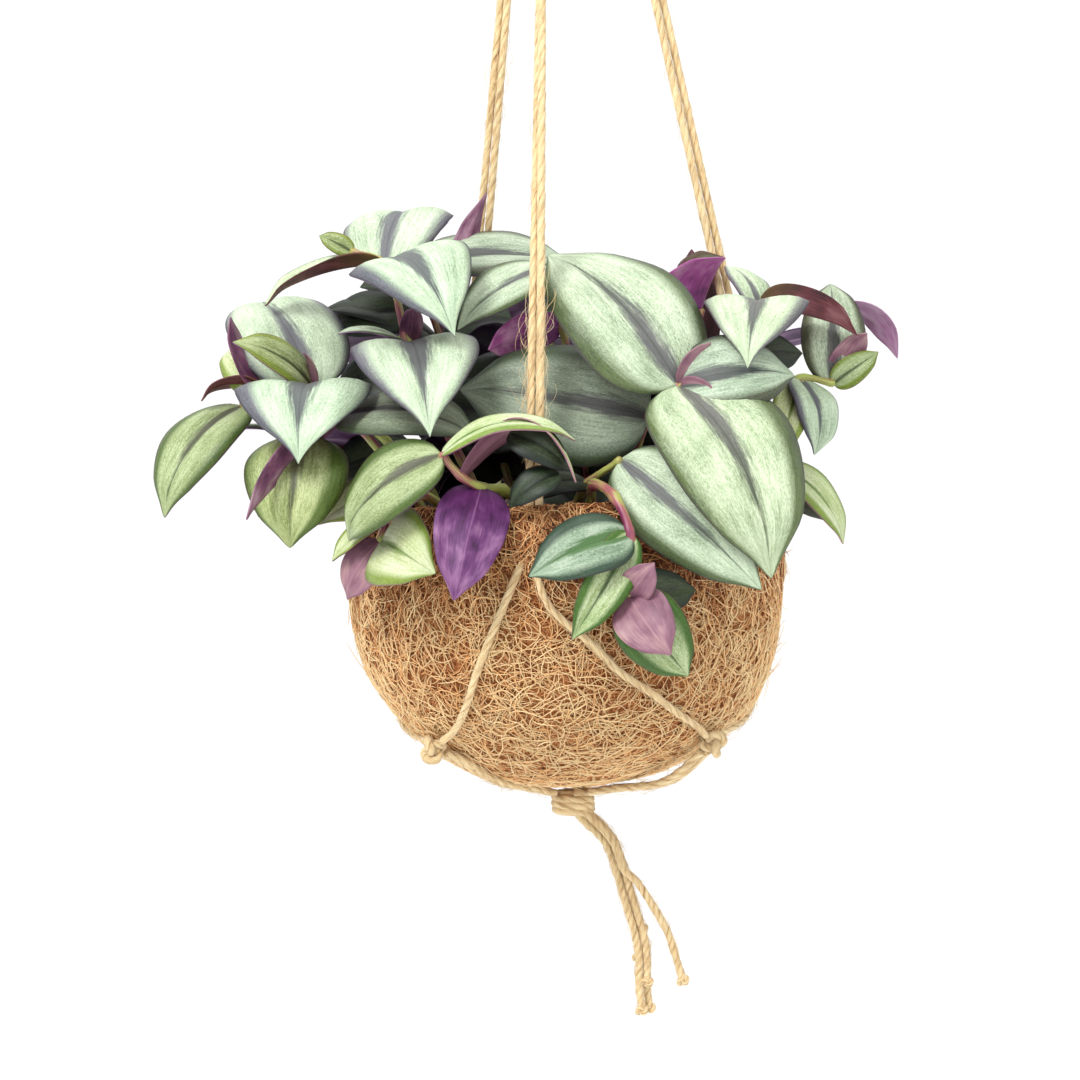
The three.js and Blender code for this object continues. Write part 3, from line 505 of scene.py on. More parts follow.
class PLANT_PG_leaf(bpy.types.PropertyGroup):
    """Sizes and colours of the leaves and stems."""

    silver: colour("Silver band", "The silvery bands of a full-grown leaf", "#A7B899")
    green: colour("Margin", "The margins of a full-grown leaf", "#64744A")
    midrib: colour("Midstripe", "The stripe along a full-grown leaf's midrib", "#55505A")
    underside: colour("Underside", "A full-grown leaf's underside", "#5E3B64")
    blade: size("Blade", "Thickness of a leaf", 0.55, 0.2, 0.9)


class PLANT_PG_stage(bpy.types.PropertyGroup):
    """The floor and backdrop."""

    paper: colour("Paper", "Colour of the floor and backdrop", "#FDFDFD")
    drop: size("Drop", "From the eye of the loop to the floor", 900, 660, 2000)


# ---- Materials ----
def node(material, kind, sockets, out=0, stops=(), **settings):
    """Adds a node with its settings. Its sockets, by place or name, take a value, a hex colour or
    another node's output, and its own output is returned."""
    made = material.node_tree.nodes.new("ShaderNode" + kind)
    for key, value in settings.items():
        setattr(made, key, value)
    for i, (at, tone) in enumerate(stops):
        stop = made.color_ramp.elements[i] if i < 2 else made.color_ramp.elements.new(at)
        stop.position, stop.color = at, linear(tone) if isinstance(tone, str) else tone
    for key, value in sockets.items():
        if isinstance(value, bpy.types.NodeSocket):
            material.node_tree.links.new(value, made.inputs[key])
        else:
            made.inputs[key].default_value = linear(value) if isinstance(value, str) else value
    return made.outputs[out] if len(made.outputs) else made


def new_material(name):
    """An empty material, and the function that adds a node to it."""
    material = bpy.data.materials.new(name)
    material.use_nodes = True
    material.node_tree.nodes.clear()
    return material, partial(node, material)


def surfaced(material, sockets):
    """The material, closed with its shader."""
    node(material, "OutputMaterial", {"Surface": node(material, "BsdfPrincipled", sockets)})
    return material


def total(add, *parts):
    """The sum of outputs, each times its weight."""
    terms = [add("Math", {0: part, 1: weight}, operation="MULTIPLY") for part, weight in parts]
    out = terms[0]
    for term in terms[1:]:
        out = add("Math", {0: out, 1: term}, operation="ADD")
    return out


def rising(add, high, low, width):
    """0 where one output is below another, rising to 1 where it is above it by a width."""
    over = add("Math", {0: high, 1: low}, operation="SUBTRACT")
    return add("Math", {0: over, 1: 1 / width}, operation="MULTIPLY", use_clamp=True)


def streaks(add, place, per_mm, detail=2, roughness=0.5):
    """Noise over a surface that knows its own millimetres, with so many streaks to one, each way."""
    vector = add("Mapping", {"Vector": place, "Scale": (*per_mm, 1)})
    return add("TexNoise", {"Vector": vector, "Scale": 1, "Detail": detail, "Roughness": roughness}, "Fac")


def spun_jute(jute):
    """Jute twine: matt, pale gold bast fibre, spun into yarns and laid up; the fibres run along each
    yarn, some paler and some browner, and the grooves between the yarns are darker with painted shade."""
    material, add = new_material("spun_jute_twine")
    # Millimetres along the cord, millimetres round it, depth of the groove.
    yarn = add("Attribute", {}, "Vector", attribute_name="yarn")
    fibres = streaks(add, yarn, (0.3, 3.0), 4, 0.7)  # fibres 0.3 mm apart and 3 mm long
    patches = streaks(add, yarn, (0.07, 0.25))
    # The groove's depth lowers the tone: painted shade in the grooves.
    tone = total(add, (fibres, 0.75), (patches, 0.35), (add("SeparateXYZ", {0: yarn}, "Z"), -0.12))
    stops = [(0.3, tuple(jute.deep)), (0.46, tuple(jute.mid)), (0.62, tuple(jute.pale))]
    return surfaced(material, {
        "Base Color": add("ValToRGB", {0: tone}, stops=stops), "Roughness": 0.9, "Specular IOR Level": 0.25,
        "Sheen Weight": 0.25, "Sheen Roughness": 0.5,
        "Normal": add("Bump", {"Height": fibres, "Strength": 0.9, "Distance": 0.35 * MM}),
    })


def loose_jute(jute):
    """Loose jute hairs: the same fibre, single and a little translucent, so paler than the cord."""
    material, add = new_material("loose_jute_hair")
    tone = add("SeparateXYZ", {0: add("Attribute", {}, "Vector", attribute_name="tone")}, "X")
    stops = [(0, tuple(jute.deep)), (0.45, tuple(jute.mid)), (1, tuple(jute.pale))]
    return surfaced(material, {"Base Color": add("ValToRGB", {0: tone}, stops=stops), "Roughness": 0.75})


def coir_fibre(coir):
    """Coconut coir: stiff round fibres, straw to fox red, with a slight shine along each."""
    material, add = new_material("coconut_coir_fibre")
    tone = add("SeparateXYZ", {0: add("Attribute", {}, "Vector", attribute_name="tone")}, "X")
    stops = [(0, tuple(coir.dark)), (0.28, tuple(coir.red)), (0.58, tuple(coir.mid)), (0.95, tuple(coir.pale))]
    return surfaced(material, {
        "Base Color": add("ValToRGB", {0: tone}, stops=stops), "Roughness": 0.6, "Specular IOR Level": 0.35,
    })


def coir_mat(coir):
    """Felted coir: the body of the bowl behind its surface fibres, pressed and bound with latex, so matt,
    and darker with painted shade in the depth between the fibres, with the same fibres running all ways."""
    material, add = new_material("felted_coir_mat")
    place = add("TexCoord", {}, "Object")
    tangle = add("TexNoise", {
        "Vector": place, "Scale": 1 / (1.6 * MM), "Detail": 4, "Roughness": 0.7, "Distortion": 2.5,
    }, "Fac")  # clumps of fibre 1.6 mm across
    lumps = add("TexNoise", {"Vector": place, "Scale": 1 / (14 * MM), "Detail": 2}, "Fac")
    tone = total(add, (tangle, 0.8), (lumps, 0.2))
    # Darker than the fibres: painted shade behind and between them.
    stops = [(0.38, tuple(coir.dark)), (0.5, tuple(coir.red)), (0.66, tuple(coir.mid))]
    return surfaced(material, {
        "Base Color": add("ValToRGB", {0: tone}, stops=stops), "Roughness": 0.95, "Specular IOR Level": 0.15,
        "Normal": add("Bump", {"Height": tangle, "Strength": 1, "Distance": 1.2 * MM}),
    })


def peat_soil():
    """Peat potting soil: matt, near black when moist, with paler crumbs."""
    material, add = new_material("moist_peat_soil")
    place = add("TexCoord", {}, "Object")
    crumbs = add("TexVoronoi", {"Vector": place, "Scale": 1 / (2.2 * MM), "Randomness": 1}, "Distance")
    grit = add("TexNoise", {"Vector": place, "Scale": 1 / (1.1 * MM), "Detail": 5}, "Fac")
    stops = [(0.35, "#150D09"), (0.55, "#2C1C13"), (0.75, "#5A4030")]
    height = total(add, (crumbs, 1), (grit, 0.6))
    return surfaced(material, {
        "Base Color": add("ValToRGB", {0: grit}, stops=stops), "Roughness": 0.95,
        "Normal": add("Bump", {"Height": height, "Strength": 1, "Distance": 1.5 * MM}),
    })


# Colours of the upper side: the silvery bands (in shade, between and brightest), the midstripe at the
# base and towards the tip, the margin (deep and pale), the edge (the leaf's own purple rim, darkened
# with painted shade where the blade rolls down); and how much of the half width the midstripe and the
# margin take.
UPPER_SIDES = {
    "silver": ("#6A7B5F", "#A7B899", "#D2E0C4", "#55505A", "#3C4636", "#37452A", "#64744A", "#4A4848", 0.25, 0.24),
    "heart": ("#758A6B", "#AFC0A2", "#D6E6C9", "#524C58", "#46464C", "#4A4A50", "#77747C", "#453F4A", 0.38, 0.15),
    "lilac": ("#758A6B", "#AFC0A2", "#D6E6C9", "#565060", "#46464C", "#4A4A50", "#77747C", "#453F4A", 0.27, 0.13),
    "banded": ("#67765F", "#97A68D", "#C2CDB6", "#3F3A42", "#35363A", "#36392C", "#5C6048", "#44404A", 0.34, 0.26),
    # A darker copy of the silver colours: painted shade for leaves in the shade of others.
    "grey": ("#535E4E", "#7B8772", "#A4AF98", "#423D42", "#3A4038", "#37432F", "#5A694E", "#4A464A", 0.25, 0.26),
    "green": ("#5B6838", "#8C9A66", "#B9C499", "#474238", "#39412A", "#33441A", "#566B2E", "#4E4436", 0.23, 0.28),
    "fresh": ("#64793F", "#95A870", "#C6D0AA", "#304B1A", "#2B4615", "#2C4816", "#4A6E24", "#5A4E3A", 0.26, 0.36),
    "deep": ("#4A5E46", "#7F9278", "#B2BEA8", "#3E6428", "#2E5616", "#27382A", "#3F5440", "#3E3E3A", 0.34, 0.36),
    "lime": ("#93A35E", "#B6C28C", "#D9DFBF", "#52701E", "#547020", "#637A28", "#8FA24C", "#8E6870", 0.18, 0.28),
    "rosy": ("#5B6838", "#8C9A66", "#B9C499", "#3C4526", "#3A4420", "#4C5A1E", "#86963A", "#84505E", 0.24, 0.32),
    # Near black: painted shade for leaves deep in the plant.
    "dark": ("#151D12", "#222C1B", "#3B4730", "#10140F", "#101811", "#101A14", "#1B2818", "#211B24", 0.22, 0.34),
    # A dim copy of the green colours: painted shade on upper sides turned away from the light.
    "dusk": ("#4A5036", "#646A4C", "#80866A", "#3B3229", "#3B2F2A", "#453B2A", "#5E4D3B", "#5F404A", 0.2, 0.3),
}
UNDERSIDES = {  # darkest, main and palest colour, and the flush near the base
    "purple": ("#341C3D", "#5E3B64", "#8A6A8C", "#4E3052"),
    "vivid": ("#38143C", "#602F64", "#966890", "#541B55"),
    "magenta": ("#601C58", "#9A4288", "#BB86A8", "#7C387C"),
    "blush": ("#74486A", "#93688A", "#B494AC", "#BDB2A8"),
    "violet": ("#492444", "#764662", "#A07E8E", "#7E4A54"),
    "wine": ("#32121A", "#5C262C", "#7E5054", "#645218"),
    "burgundy": ("#22080E", "#3C111C", "#744050", "#1C0A0E"),
    "pink": ("#6A4454", "#8C6272", "#AC888A", "#7A5060"),
    "shade": ("#120814", "#1F1024", "#301C36", "#190B1C"),
}


def leaf_upper(kind, colours):
    """A waxy leaf's upper side: two silvery bands where air under the skin scatters the light, speckled
    and feathered along the veins, between a dark midstripe that tapers to the tip and green margins."""
    shade, silver, bright, rib, rib_tip, deep, pale, edge, rib_width, margin = colours
    material, add = new_material(f"leaf_upper_{kind}")
    blade = add("Attribute", {}, "Vector", attribute_name="blade")
    side, along, tint = (add("SeparateXYZ", {0: blade}, axis) for axis in "XYZ")
    across = add("Math", {0: side}, operation="ABSOLUTE")
    # Millimetres across at the widest, millimetres along, the leaf's own number.
    veins = add("Attribute", {}, "Vector", attribute_name="veins")
    feather = streaks(add, veins, (1.0, 0.1), 4, 0.65)  # streaks 1 mm apart and 10 mm long
    fine = streaks(add, veins, (3.2, 0.9), 3, 0.75)  # cells 0.3 mm wide, in rows along the veins
    slow = streaks(add, veins, (0.12, 0.06))
    speckle = total(add, (fine, 0.55), (feather, 0.3), (slow, 0.25))
    base = add("ValToRGB", {0: speckle}, stops=[(0.4, shade), (0.52, silver), (0.64, bright)])
    green = add("ValToRGB", {0: speckle}, stops=[(0.44, deep), (0.64, pale)])
    stripe = add("ValToRGB", {0: along}, stops=[(0.3, rib), (0.85, rib_tip)])
    # Where each band ends, in shares of the half width: feathered by the streaks, and with one half's
    # margin wider than the other's by the leaf's own tint.
    loose = total(add, (across, 1), (feather, 0.3), (slow, 0.14))
    frayed = add("Math", {0: loose, 1: 0.22}, operation="SUBTRACT")
    lean = add("Math", {0: tint, 1: 0.5}, operation="SUBTRACT")
    lean = add("Math", {0: lean, 1: side}, operation="MULTIPLY")
    taper = add("Math", {0: along, 1: 1.6}, operation="POWER")
    narrow = add("Math", {0: taper, 1: -0.9 * rib_width, 2: rib_width}, operation="MULTIPLY_ADD")
    bands = (
        (rising(add, total(add, (frayed, 1), (lean, 0.32)), 0.9 - margin, 0.2), 1, green),
        (rising(add, narrow, frayed, 0.14), 0.88, stripe),
        (rising(add, 0.022, across, 0.01), 0.45, rib_tip),  # the midrib itself, a fine line
        # The thin edge band: the leaf's own purple rim, darkened with painted shade where the blade rolls down.
        (rising(add, across, 0.955, 0.03), 0.8, edge),
    )
    for share, strength, tone in bands:
        share = total(add, (share, strength))
        base = add("Mix", {0: share, 6: base, 7: tone}, 2, data_type="RGBA")
    # A leaf's own tint: towards yellow-green or towards blue-grey.
    tinted = add("ValToRGB", {0: tint}, stops=[(0, "#9FB9B4"), (0.5, "#BCBCBC"), (1, "#C2C48A")])
    base = add("Mix", {0: 0.35, 6: base, 7: tinted}, 2, data_type="RGBA", blend_type="SOFT_LIGHT")
    height = total(add, (feather, 0.6), (fine, 0.5))
    return surfaced(material, {
        "Base Color": base, "IOR": 1.42,
        "Roughness": add("Math", {0: fine, 1: 0.25, 2: 0.3}, operation="MULTIPLY_ADD"),
        "Normal": add("Bump", {"Height": height, "Strength": 0.7, "Distance": 0.3 * MM}),
    })


def leaf_underside(kind, tones):
    """A waxy leaf's underside: coloured by anthocyanin, with paler lengthwise veins and a soft shine."""
    material, add = new_material(f"leaf_underside_{kind}")
    blade = add("Attribute", {}, "Vector", attribute_name="blade")
    side, along = (add("SeparateXYZ", {0: blade}, axis) for axis in "XY")
    veins = add("Attribute", {}, "Vector", attribute_name="veins")
    streak = streaks(add, veins, (1.6, 0.12), 4, 0.7)  # veins 0.6 mm apart
    cloud = streaks(add, veins, (0.16, 0.1))
    tone = total(add, (streak, 0.35), (cloud, 0.65), (along, 0.14))
    base = add("ValToRGB", {0: tone}, stops=[(0.41, tones[0]), (0.57, tones[1]), (0.75, tones[2])])
    flush = rising(add, 0.4, along, 0.625)
    base = add("Mix", {0: flush, 6: base, 7: tones[3]}, 2, data_type="RGBA")
    rib = rising(add, 0.035, add("Math", {0: side}, operation="ABSOLUTE"), 0.02)
    base = add("Mix", {0: total(add, (rib, 0.4)), 6: base, 7: tones[2]}, 2, data_type="RGBA")
    return surfaced(material, {
        "Base Color": base, "Roughness": 0.45, "IOR": 1.42,
        "Normal": add("Bump", {"Height": streak, "Strength": 0.7, "Distance": 0.3 * MM}),
    })


def juicy_stem():
    """A fleshy stem: yellow-green with magenta flushes and streaks, smooth and slightly shiny."""
    material, add = new_material("fleshy_green_stem")
    skin = add("Attribute", {}, "Vector", attribute_name="skin")  # mm along, mm round, the stem's own number
    streak = streaks(add, skin, (0.08, 0.8), 3)
    flush = streaks(add, skin, (0.06, 0.06), 1)
    tone = total(add, (streak, 0.35), (flush, 0.65))
    stops = [(0.36, "#B7C565"), (0.47, "#A2A858"), (0.55, "#A0605C"), (0.66, "#7A2E52")]
    return surfaced(material, {
        "Base Color": add("ValToRGB", {0: tone}, stops=stops), "Roughness": 0.38,
        "Subsurface Weight": 0.1, "Subsurface Scale": 1.5 * MM, "Subsurface Radius": (1.0, 0.8, 0.4),
        "Normal": add("Bump", {"Height": streak, "Strength": 0.4, "Distance": 0.3 * MM}),
    })


def photo_paper(paper):
    """Seamless paper: matt white, with no shine."""
    material, add = new_material("seamless_white_paper")
    grain = add("TexNoise", {"Vector": add("TexCoord", {}, "Object"), "Scale": 400}, "Fac")
    base = add("Mix", {0: grain, 6: tuple(paper), 7: "#FAFAFA"}, 2, data_type="RGBA")
    return surfaced(material, {"Base Color": base, "Roughness": 1})


MADE = {}


def made_once(key, maker, *args):
    """A material, made the first time that it is asked for."""
    if key not in MADE:
        MADE[key] = maker(*args)
    return MADE[key]


def upper_side(kind):
    leaf = bpy.context.scene.plant_leaf
    colours = list(UPPER_SIDES[kind])
    if kind == "silver":
        colours[1], colours[3], colours[6] = tuple(leaf.silver), tuple(leaf.midrib), tuple(leaf.green)
    return made_once(f"upper_{kind}", leaf_upper, kind, colours)


def under_side(kind):
    tones = list(UNDERSIDES[kind])
    if kind == "purple":
        tones[1] = tuple(bpy.context.scene.plant_leaf.underside)
    return made_once(f"under_{kind}", leaf_underside, kind, tones)


# ---- Meshes ----
def deselect():
    for o in bpy.context.view_layer.objects.selected[:]:
        o.select_set(False)


def only(obj):
    deselect()
    obj.select_set(True)
    bpy.context.view_layer.objects.active = obj


def new_object(name, mesh, *materials):
    obj = bpy.data.objects.new(name, mesh)
    bpy.context.scene.collection.objects.link(obj)
    for material in materials:
        obj.data.materials.append(material)
    return obj


def joined(objects, name):
    """Joins objects into the first of them."""
    only(objects[0])
    for other in objects[1:]:
        other.select_set(True)
    bpy.ops.object.join()
    objects[0].name = name
    return objects[0]


def points_of(mesh):
    points = np.empty(len(mesh.vertices) * 3, np.float32)
    mesh.vertices.foreach_get("co", points)
    return points.reshape(-1, 3).astype(float)


def move_points(mesh, points):
    """Puts a mesh's vertices at points in millimetres."""
    mesh.vertices.foreach_set("co", to_metres(points).astype(np.float32).ravel())
    mesh.update()


def give_vectors(mesh, attributes):
    """Gives each vertex its vector of each attribute."""
    for key, values in attributes.items():
        layer = mesh.attributes.new(key, "FLOAT_VECTOR", "POINT")
        layer.data.foreach_set("vector", np.asarray(values, np.float32).ravel())


def rings(points, radius, angle, normal, binormal):
    """Rings of points round a route, or round many."""
    across = (radius * np.cos(angle))[..., None] * normal[..., None, :]
    return points[..., None, :] + across + (radius * np.sin(angle))[..., None] * binormal[..., None, :]


def mesh_from(name, vertices, faces, attributes=None):
    """A smooth mesh from vertices in millimetres, groups of faces of one size each, and vectors for its
    vertices."""
    mesh = bpy.data.meshes.new(name)
    vertices = to_metres(vertices)
    groups = [np.asarray(f, np.int32) for f in faces if len(f)]
    loops = np.concatenate([g.ravel() for g in groups])
    sizes = np.concatenate([np.full(len(g), g.shape[1], np.int32) for g in groups])
    mesh.vertices.add(len(vertices))
    mesh.vertices.foreach_set("co", vertices.astype(np.float32).ravel())
    mesh.loops.add(len(loops))
    mesh.loops.foreach_set("vertex_index", loops)
    mesh.polygons.add(len(sizes))
    mesh.polygons.foreach_set("loop_start", np.concatenate([[0], np.cumsum(sizes)[:-1]]).astype(np.int32))
    give_vectors(mesh, attributes or {})
    mesh.update(calc_edges=True)
    mesh.validate()
    mesh.polygons.foreach_set("use_smooth", np.full(len(mesh.polygons), True))
    return mesh


def frames_along(points, hint):
    """Unit tangents, and normals that turn as little as they can along a route."""
    tangent = unit(np.gradient(points, axis=0))
    normal = np.empty_like(points)
    current = np.asarray(hint, float)
    for i, t in enumerate(tangent):
        current = unit(current - np.dot(current, t) * t)
        normal[i] = current
    return tangent, normal, np.cross(tangent, normal)


def tube_faces(count, sides):
    """Quads of a swept section, and the two end caps as fans round a middle point each."""
    i = np.arange(count - 1)[:, None] * sides
    k = np.arange(sides)[None]
    after = (k + 1) % sides
    quads = np.stack([i + k, i + after, i + sides + after, i + sides + k], -1).reshape(-1, 4)
    k, after = k.ravel(), after.ravel()
    first, last = count * sides, count * sides + 1
    end = (count - 1) * sides
    caps = np.vstack([
        np.stack([np.full(sides, first), after, k], -1),
        np.stack([np.full(sides, last), end + k, end + after], -1),
    ])
    return quads, caps


def laid_cord(name, route, diameter, seed, yarns=3, lay=None, spacing=1.1, sides=18):
    """A cord of twisted yarns swept along a smooth route. Its surface knows how far along and round it
    each point is, in millimetres, and how deep in a groove between yarns."""
    jute = bpy.context.scene.plant_jute
    lay = lay or jute.lay / MM
    points = smooth_route(route, spacing)
    rng = np.random.default_rng(seed)
    tangent, normal, binormal = frames_along(points, (0.3, -0.8, 0.4))
    run = np.arange(len(points)) * length_of(points) / (len(points) - 1)
    angle = np.arange(sides) * 2 * math.pi / sides
    thick_spots = np.arange(0, run[-1] + 9, 4.5)
    slub = np.interp(run, thick_spots, rng.normal(0, 0.03, len(thick_spots)))
    lobe = np.abs(np.cos(yarns / 2 * angle))  # 1 on a yarn's back, 0 in a groove
    shape = 0.86 + 0.15 * lobe**0.8
    twist = 2 * math.pi * run / lay + rng.uniform(0, 6)
    radius = diameter / 2 * shape[None] * (1 + slub[:, None])
    radius = radius * (1 + rng.normal(0, 0.018, radius.shape))
    ring = rings(points, radius, angle[None] + twist[:, None], normal, binormal)
    start = seed * 37  # each cord has its own stretch of the yarn's pattern
    yarn = np.stack(np.broadcast_arrays(run[:, None] + start, angle[None] * diameter / 2, 1 - lobe[None]), -1)
    yarn = np.vstack([yarn.reshape(-1, 3), [[start, 0, 0.5]], [[run[-1] + start, 0, 0.5]]])
    vertices = np.vstack([ring.reshape(-1, 3), points[:1], points[-1:]])
    mesh = mesh_from(name, vertices, tube_faces(len(points), sides), {"yarn": yarn})
    return new_object(name, mesh, made_once("jute", spun_jute, jute)), points


def fibre_mesh(name, paths, radii, tones, outward, sides=3):
    """Many thin fibres: paths is (fibres, points, 3), with a radius, a tone and an outward direction
    for each."""
    n, k, _ = paths.shape
    tangent = unit(np.gradient(paths, axis=1))
    normal = unit(outward[:, None] - (outward[:, None] * tangent).sum(-1, keepdims=True) * tangent)
    binormal = np.cross(tangent, normal)
    thin = np.interp(np.linspace(0, 1, k), [0, 0.12, 0.8, 1], [0.55, 1, 1, 0.35])
    angle = np.arange(sides) * 2 * math.pi / sides
    ring = rings(paths, radii[:, None, None] * thin[None, :, None], angle, normal, binormal)
    start = (np.arange(n) * k * sides)[:, None, None]
    i = (np.arange(k - 1) * sides)[None, :, None]
    j = np.arange(sides)[None, None]
    after = (j + 1) % sides
    quads = np.stack([start + i + j, start + i + after, start + i + sides + after, start + i + sides + j], -1)
    first = (np.arange(n) * k * sides)[:, None] + np.arange(sides)[::-1]
    last = (np.arange(n) * k * sides + (k - 1) * sides)[:, None] + np.arange(sides)
    tone = np.repeat(tones, k * sides)
    data = np.stack([tone, np.tile(np.repeat(np.linspace(0, 1, k), sides), n), np.zeros_like(tone)], -1)
    return mesh_from(name, ring.reshape(-1, 3), [quads.reshape(-1, 4), first, last], {"tone": data})


def keep(obj, slot, *nodes):
    """Puts a finished piece on the object's one body, in place of CAD nodes."""
    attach(obj, "root")
    if nodes:
        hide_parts(*nodes)
    return obj


class PLANT_OT_camera(bpy.types.Operator):
    """Stands the camera where the bowl is seen from, level with the leaves and turned a little"""

    bl_idname = "plant.camera"
    bl_label = "Camera"

    def execute(self, context):
        view_width, distance = 432, 1000  # mm across the picture at the bowl, and how far off it is
        data = bpy.data.cameras.new("camera")
        data.sensor_width = 36
        data.lens = data.sensor_width * distance / view_width
        data.clip_start, data.clip_end = 0.05, 20
        camera = bpy.data.objects.new("camera", data)
        context.scene.collection.objects.link(camera)
        place = Matrix.Translation(Vector(to_metres((-10.6, -distance, 98))))
        level = Matrix.Rotation(math.radians(90), 4, "X")
        camera.matrix_world = place @ level @ Matrix.Rotation(math.radians(-1.28), 4, "Z")
        context.scene.camera = camera
        return {"FINISHED"}


class PLANT_OT_legs(bpy.types.Operator):
    """Hangs the bowl's three pairs of cords from the top knot to the rim"""

    bl_idname = "plant.legs"
    bl_label = "Legs"

    def execute(self, context):
        for leg, (name, *_) in enumerate(LEGS):
            for hand, side in (("a", -1), ("b", 1)):
                node_name = f"leg_{name}_{hand}"
                route = leg_strand(leg, side)
                into_knot = [route[0] + (0, 0, 5), *route]
                obj, points = laid_cord(f"{node_name}_cord", into_knot, STRAND, 10 * leg + side + 2)
                keep(obj, "jute", node_name)
        return {"FINISHED"}


class PLANT_OT_tails(bpy.types.Operator):
    """Hangs the bottom knot's six tails, each ending in a small knot"""

    bl_idname = "plant.tails"
    bl_label = "Tails"

    def execute(self, context):
        for i, tail in enumerate(TAILS):
            node_name = f"tail_{i + 1}"
            from_knot = [np.array((0.5, 0.4 * tail[1], -8.6)), *tail_strand(*tail)]
            obj, points = laid_cord(f"{node_name}_cord", from_knot, STRAND, 60 + i, lay=11)
            knob = overhand_knot(
                f"{node_name}_end_knot", points[-1] + (0, 0, 0.4), 2.1, 1.9, 80 + i, unit(points[-1] - points[-4])
            )
            keep(obj, "jute", node_name)
            keep(knob, "jute")
        return {"FINISHED"}


def overhand_knot(name, centre, radius, diameter, seed, axis):
    """A small tight knot of cord, drawn as a trefoil, with its axis along the cord."""
    t = np.linspace(0, 2 * math.pi, 40)[:-1]
    trefoil = np.stack([np.sin(t) + 2 * np.sin(2 * t), np.cos(t) - 2 * np.cos(2 * t), -1.5 * np.sin(3 * t)], -1)
    axis = unit(axis)
    side = unit(np.cross(axis, (0.2, 1, 0.1)))
    route = np.asarray(centre) + trefoil * radius / 3 @ np.stack([side, np.cross(axis, side), axis], 0)
    obj, _ = laid_cord(name, np.vstack([route, route[:2]]), diameter, seed, lay=9, spacing=0.7, sides=12)
    return obj


class PLANT_OT_wall_strands(bpy.types.Operator):
    """Lays the strands down the bowl's wall to the side knots, and on under the bowl"""

    bl_idname = "plant.wall_strands"
    bl_label = "Wall strands"

    def execute(self, context):
        for i, (leg, side, knot, route) in enumerate(WALL_ROUTES):
            name = f"wall_strand_{LEGS[leg][0]}_{'a' if side < 0 else 'b'}"
            obj, _ = laid_cord(f"{name}_cord", wall_strand(leg, side, knot, route), WALL_STRAND, 30 + i)
            keep(obj, "jute", name)
        for knot, (knot_name, *_) in enumerate(SIDE_KNOTS):
            for hand, side in (("a", -1), ("b", 1)):
                name = f"under_strand_{knot_name}_{hand}"
                obj, _ = laid_cord(f"{name}_cord", under_strand(knot, side), STRAND, 40 + 2 * knot + (side > 0))
                keep(obj, "jute", name)
        return {"FINISHED"}


class PLANT_OT_knots(bpy.types.Operator):
    """Ties the side knots, the bottom knot and the top knot"""

    bl_idname = "plant.knots"
    bl_label = "Knots"

    def execute(self, context):
        for knot, (name, azimuth, _) in enumerate(SIDE_KNOTS):
            along_bowl = around(azimuth + 90, 1, 0)
            obj = overhand_knot(f"side_knot_{name}_tied", knot_centre(knot), 4.1, 3.7, 90 + knot, along_bowl)
            keep(obj, "jute", f"side_knot_{name}")
        keep(wound_knot("bottom_knot_tied", (0.3, 0, -7), 7, 11.6, 3.8, 95), "jute", "bottom_knot")
        centre = (MEET_ASIDE, 0, MEET_HEIGHT)
        keep(wound_knot("top_knot_tied", centre, 6.0, 14.5, 3.6, 97), "jute", "top_knot")
        return {"FINISHED"}


def wound_knot(name, centre, radius, height, diameter, seed):
    """Cord wound round gathered strands, its last turn crossing the others."""
    turns = height / (diameter * 0.92)
    t = np.linspace(0, 1, int(turns * 14))
    half = height / 2 - diameter / 2
    barrel = radius * (1 - 0.12 * np.abs(2 * t - 1) ** 3)
    angle = 2 * math.pi * turns * t
    down = np.stack([barrel * np.sin(angle), -barrel * np.cos(angle), half - 2 * half * t], -1)
    a = np.linspace(0, 1, 12)[1:-1]
    over = radius + 1.3
    angle = 2 * math.pi * turns + 1.1 * a
    back = np.stack([over * np.sin(angle), -over * np.cos(angle), -half + 2 * half * a], -1)
    centre = np.asarray(centre)
    obj, _ = laid_cord(name, centre + np.vstack([down, back]), diameter, seed, spacing=0.9, sides=14)
    gathered = [centre + (0, 0, z) for z in (half + 1, 0, -half - 1)]
    core, _ = laid_cord(name + "_core", gathered, 1.9 * radius, seed + 1, yarns=6, lay=40)
    return joined([obj, core], name)


class PLANT_OT_loop(bpy.types.Operator):
    """Plaits the hanging loop of three cords"""

    bl_idname = "plant.hanging_loop"
    bl_label = "Hanging loop"

    def execute(self, context):
        foot = MEET_HEIGHT + TOP_KNOT_HALF + 1.6
        rise = LOOP_TOP - foot
        half = [(3.2, -0.15), (3.6, 0), (0.62 * LOOP_HALF_WIDTH, 0.18), (0.97 * LOOP_HALF_WIDTH, 0.46),
                (0.9 * LOOP_HALF_WIDTH, 0.76), (0.52 * LOOP_HALF_WIDTH, 0.95)]
        left = [(MEET_ASIDE - x, 0, foot + share * rise) for x, share in half]
        right = [(MEET_ASIDE + x, 0, foot + share * rise) for x, share in reversed(half)]
        middle = smooth_route([*left, (MEET_ASIDE, 0, LOOP_TOP), *right], 1.0)
        tangent, normal, binormal = frames_along(middle, (0, 1, 0))
        run = np.arange(len(middle)) * length_of(middle) / (len(middle) - 1)
        strands = []
        for k in range(3):
            phase = 2 * math.pi * (run / 15 + k / 3)
            over, aside = 1.75 * np.sin(phase), 0.95 * np.sin(2 * phase)
            route = middle + over[:, None] * normal + aside[:, None] * binormal
            strands.append(laid_cord(f"hanging_loop_strand_{k + 1}", route, 2.6, 100 + k, lay=9, sides=12)[0])
        keep(joined(strands, "hanging_loop_plait"), "jute", "hanging_loop")
        return {"FINISHED"}


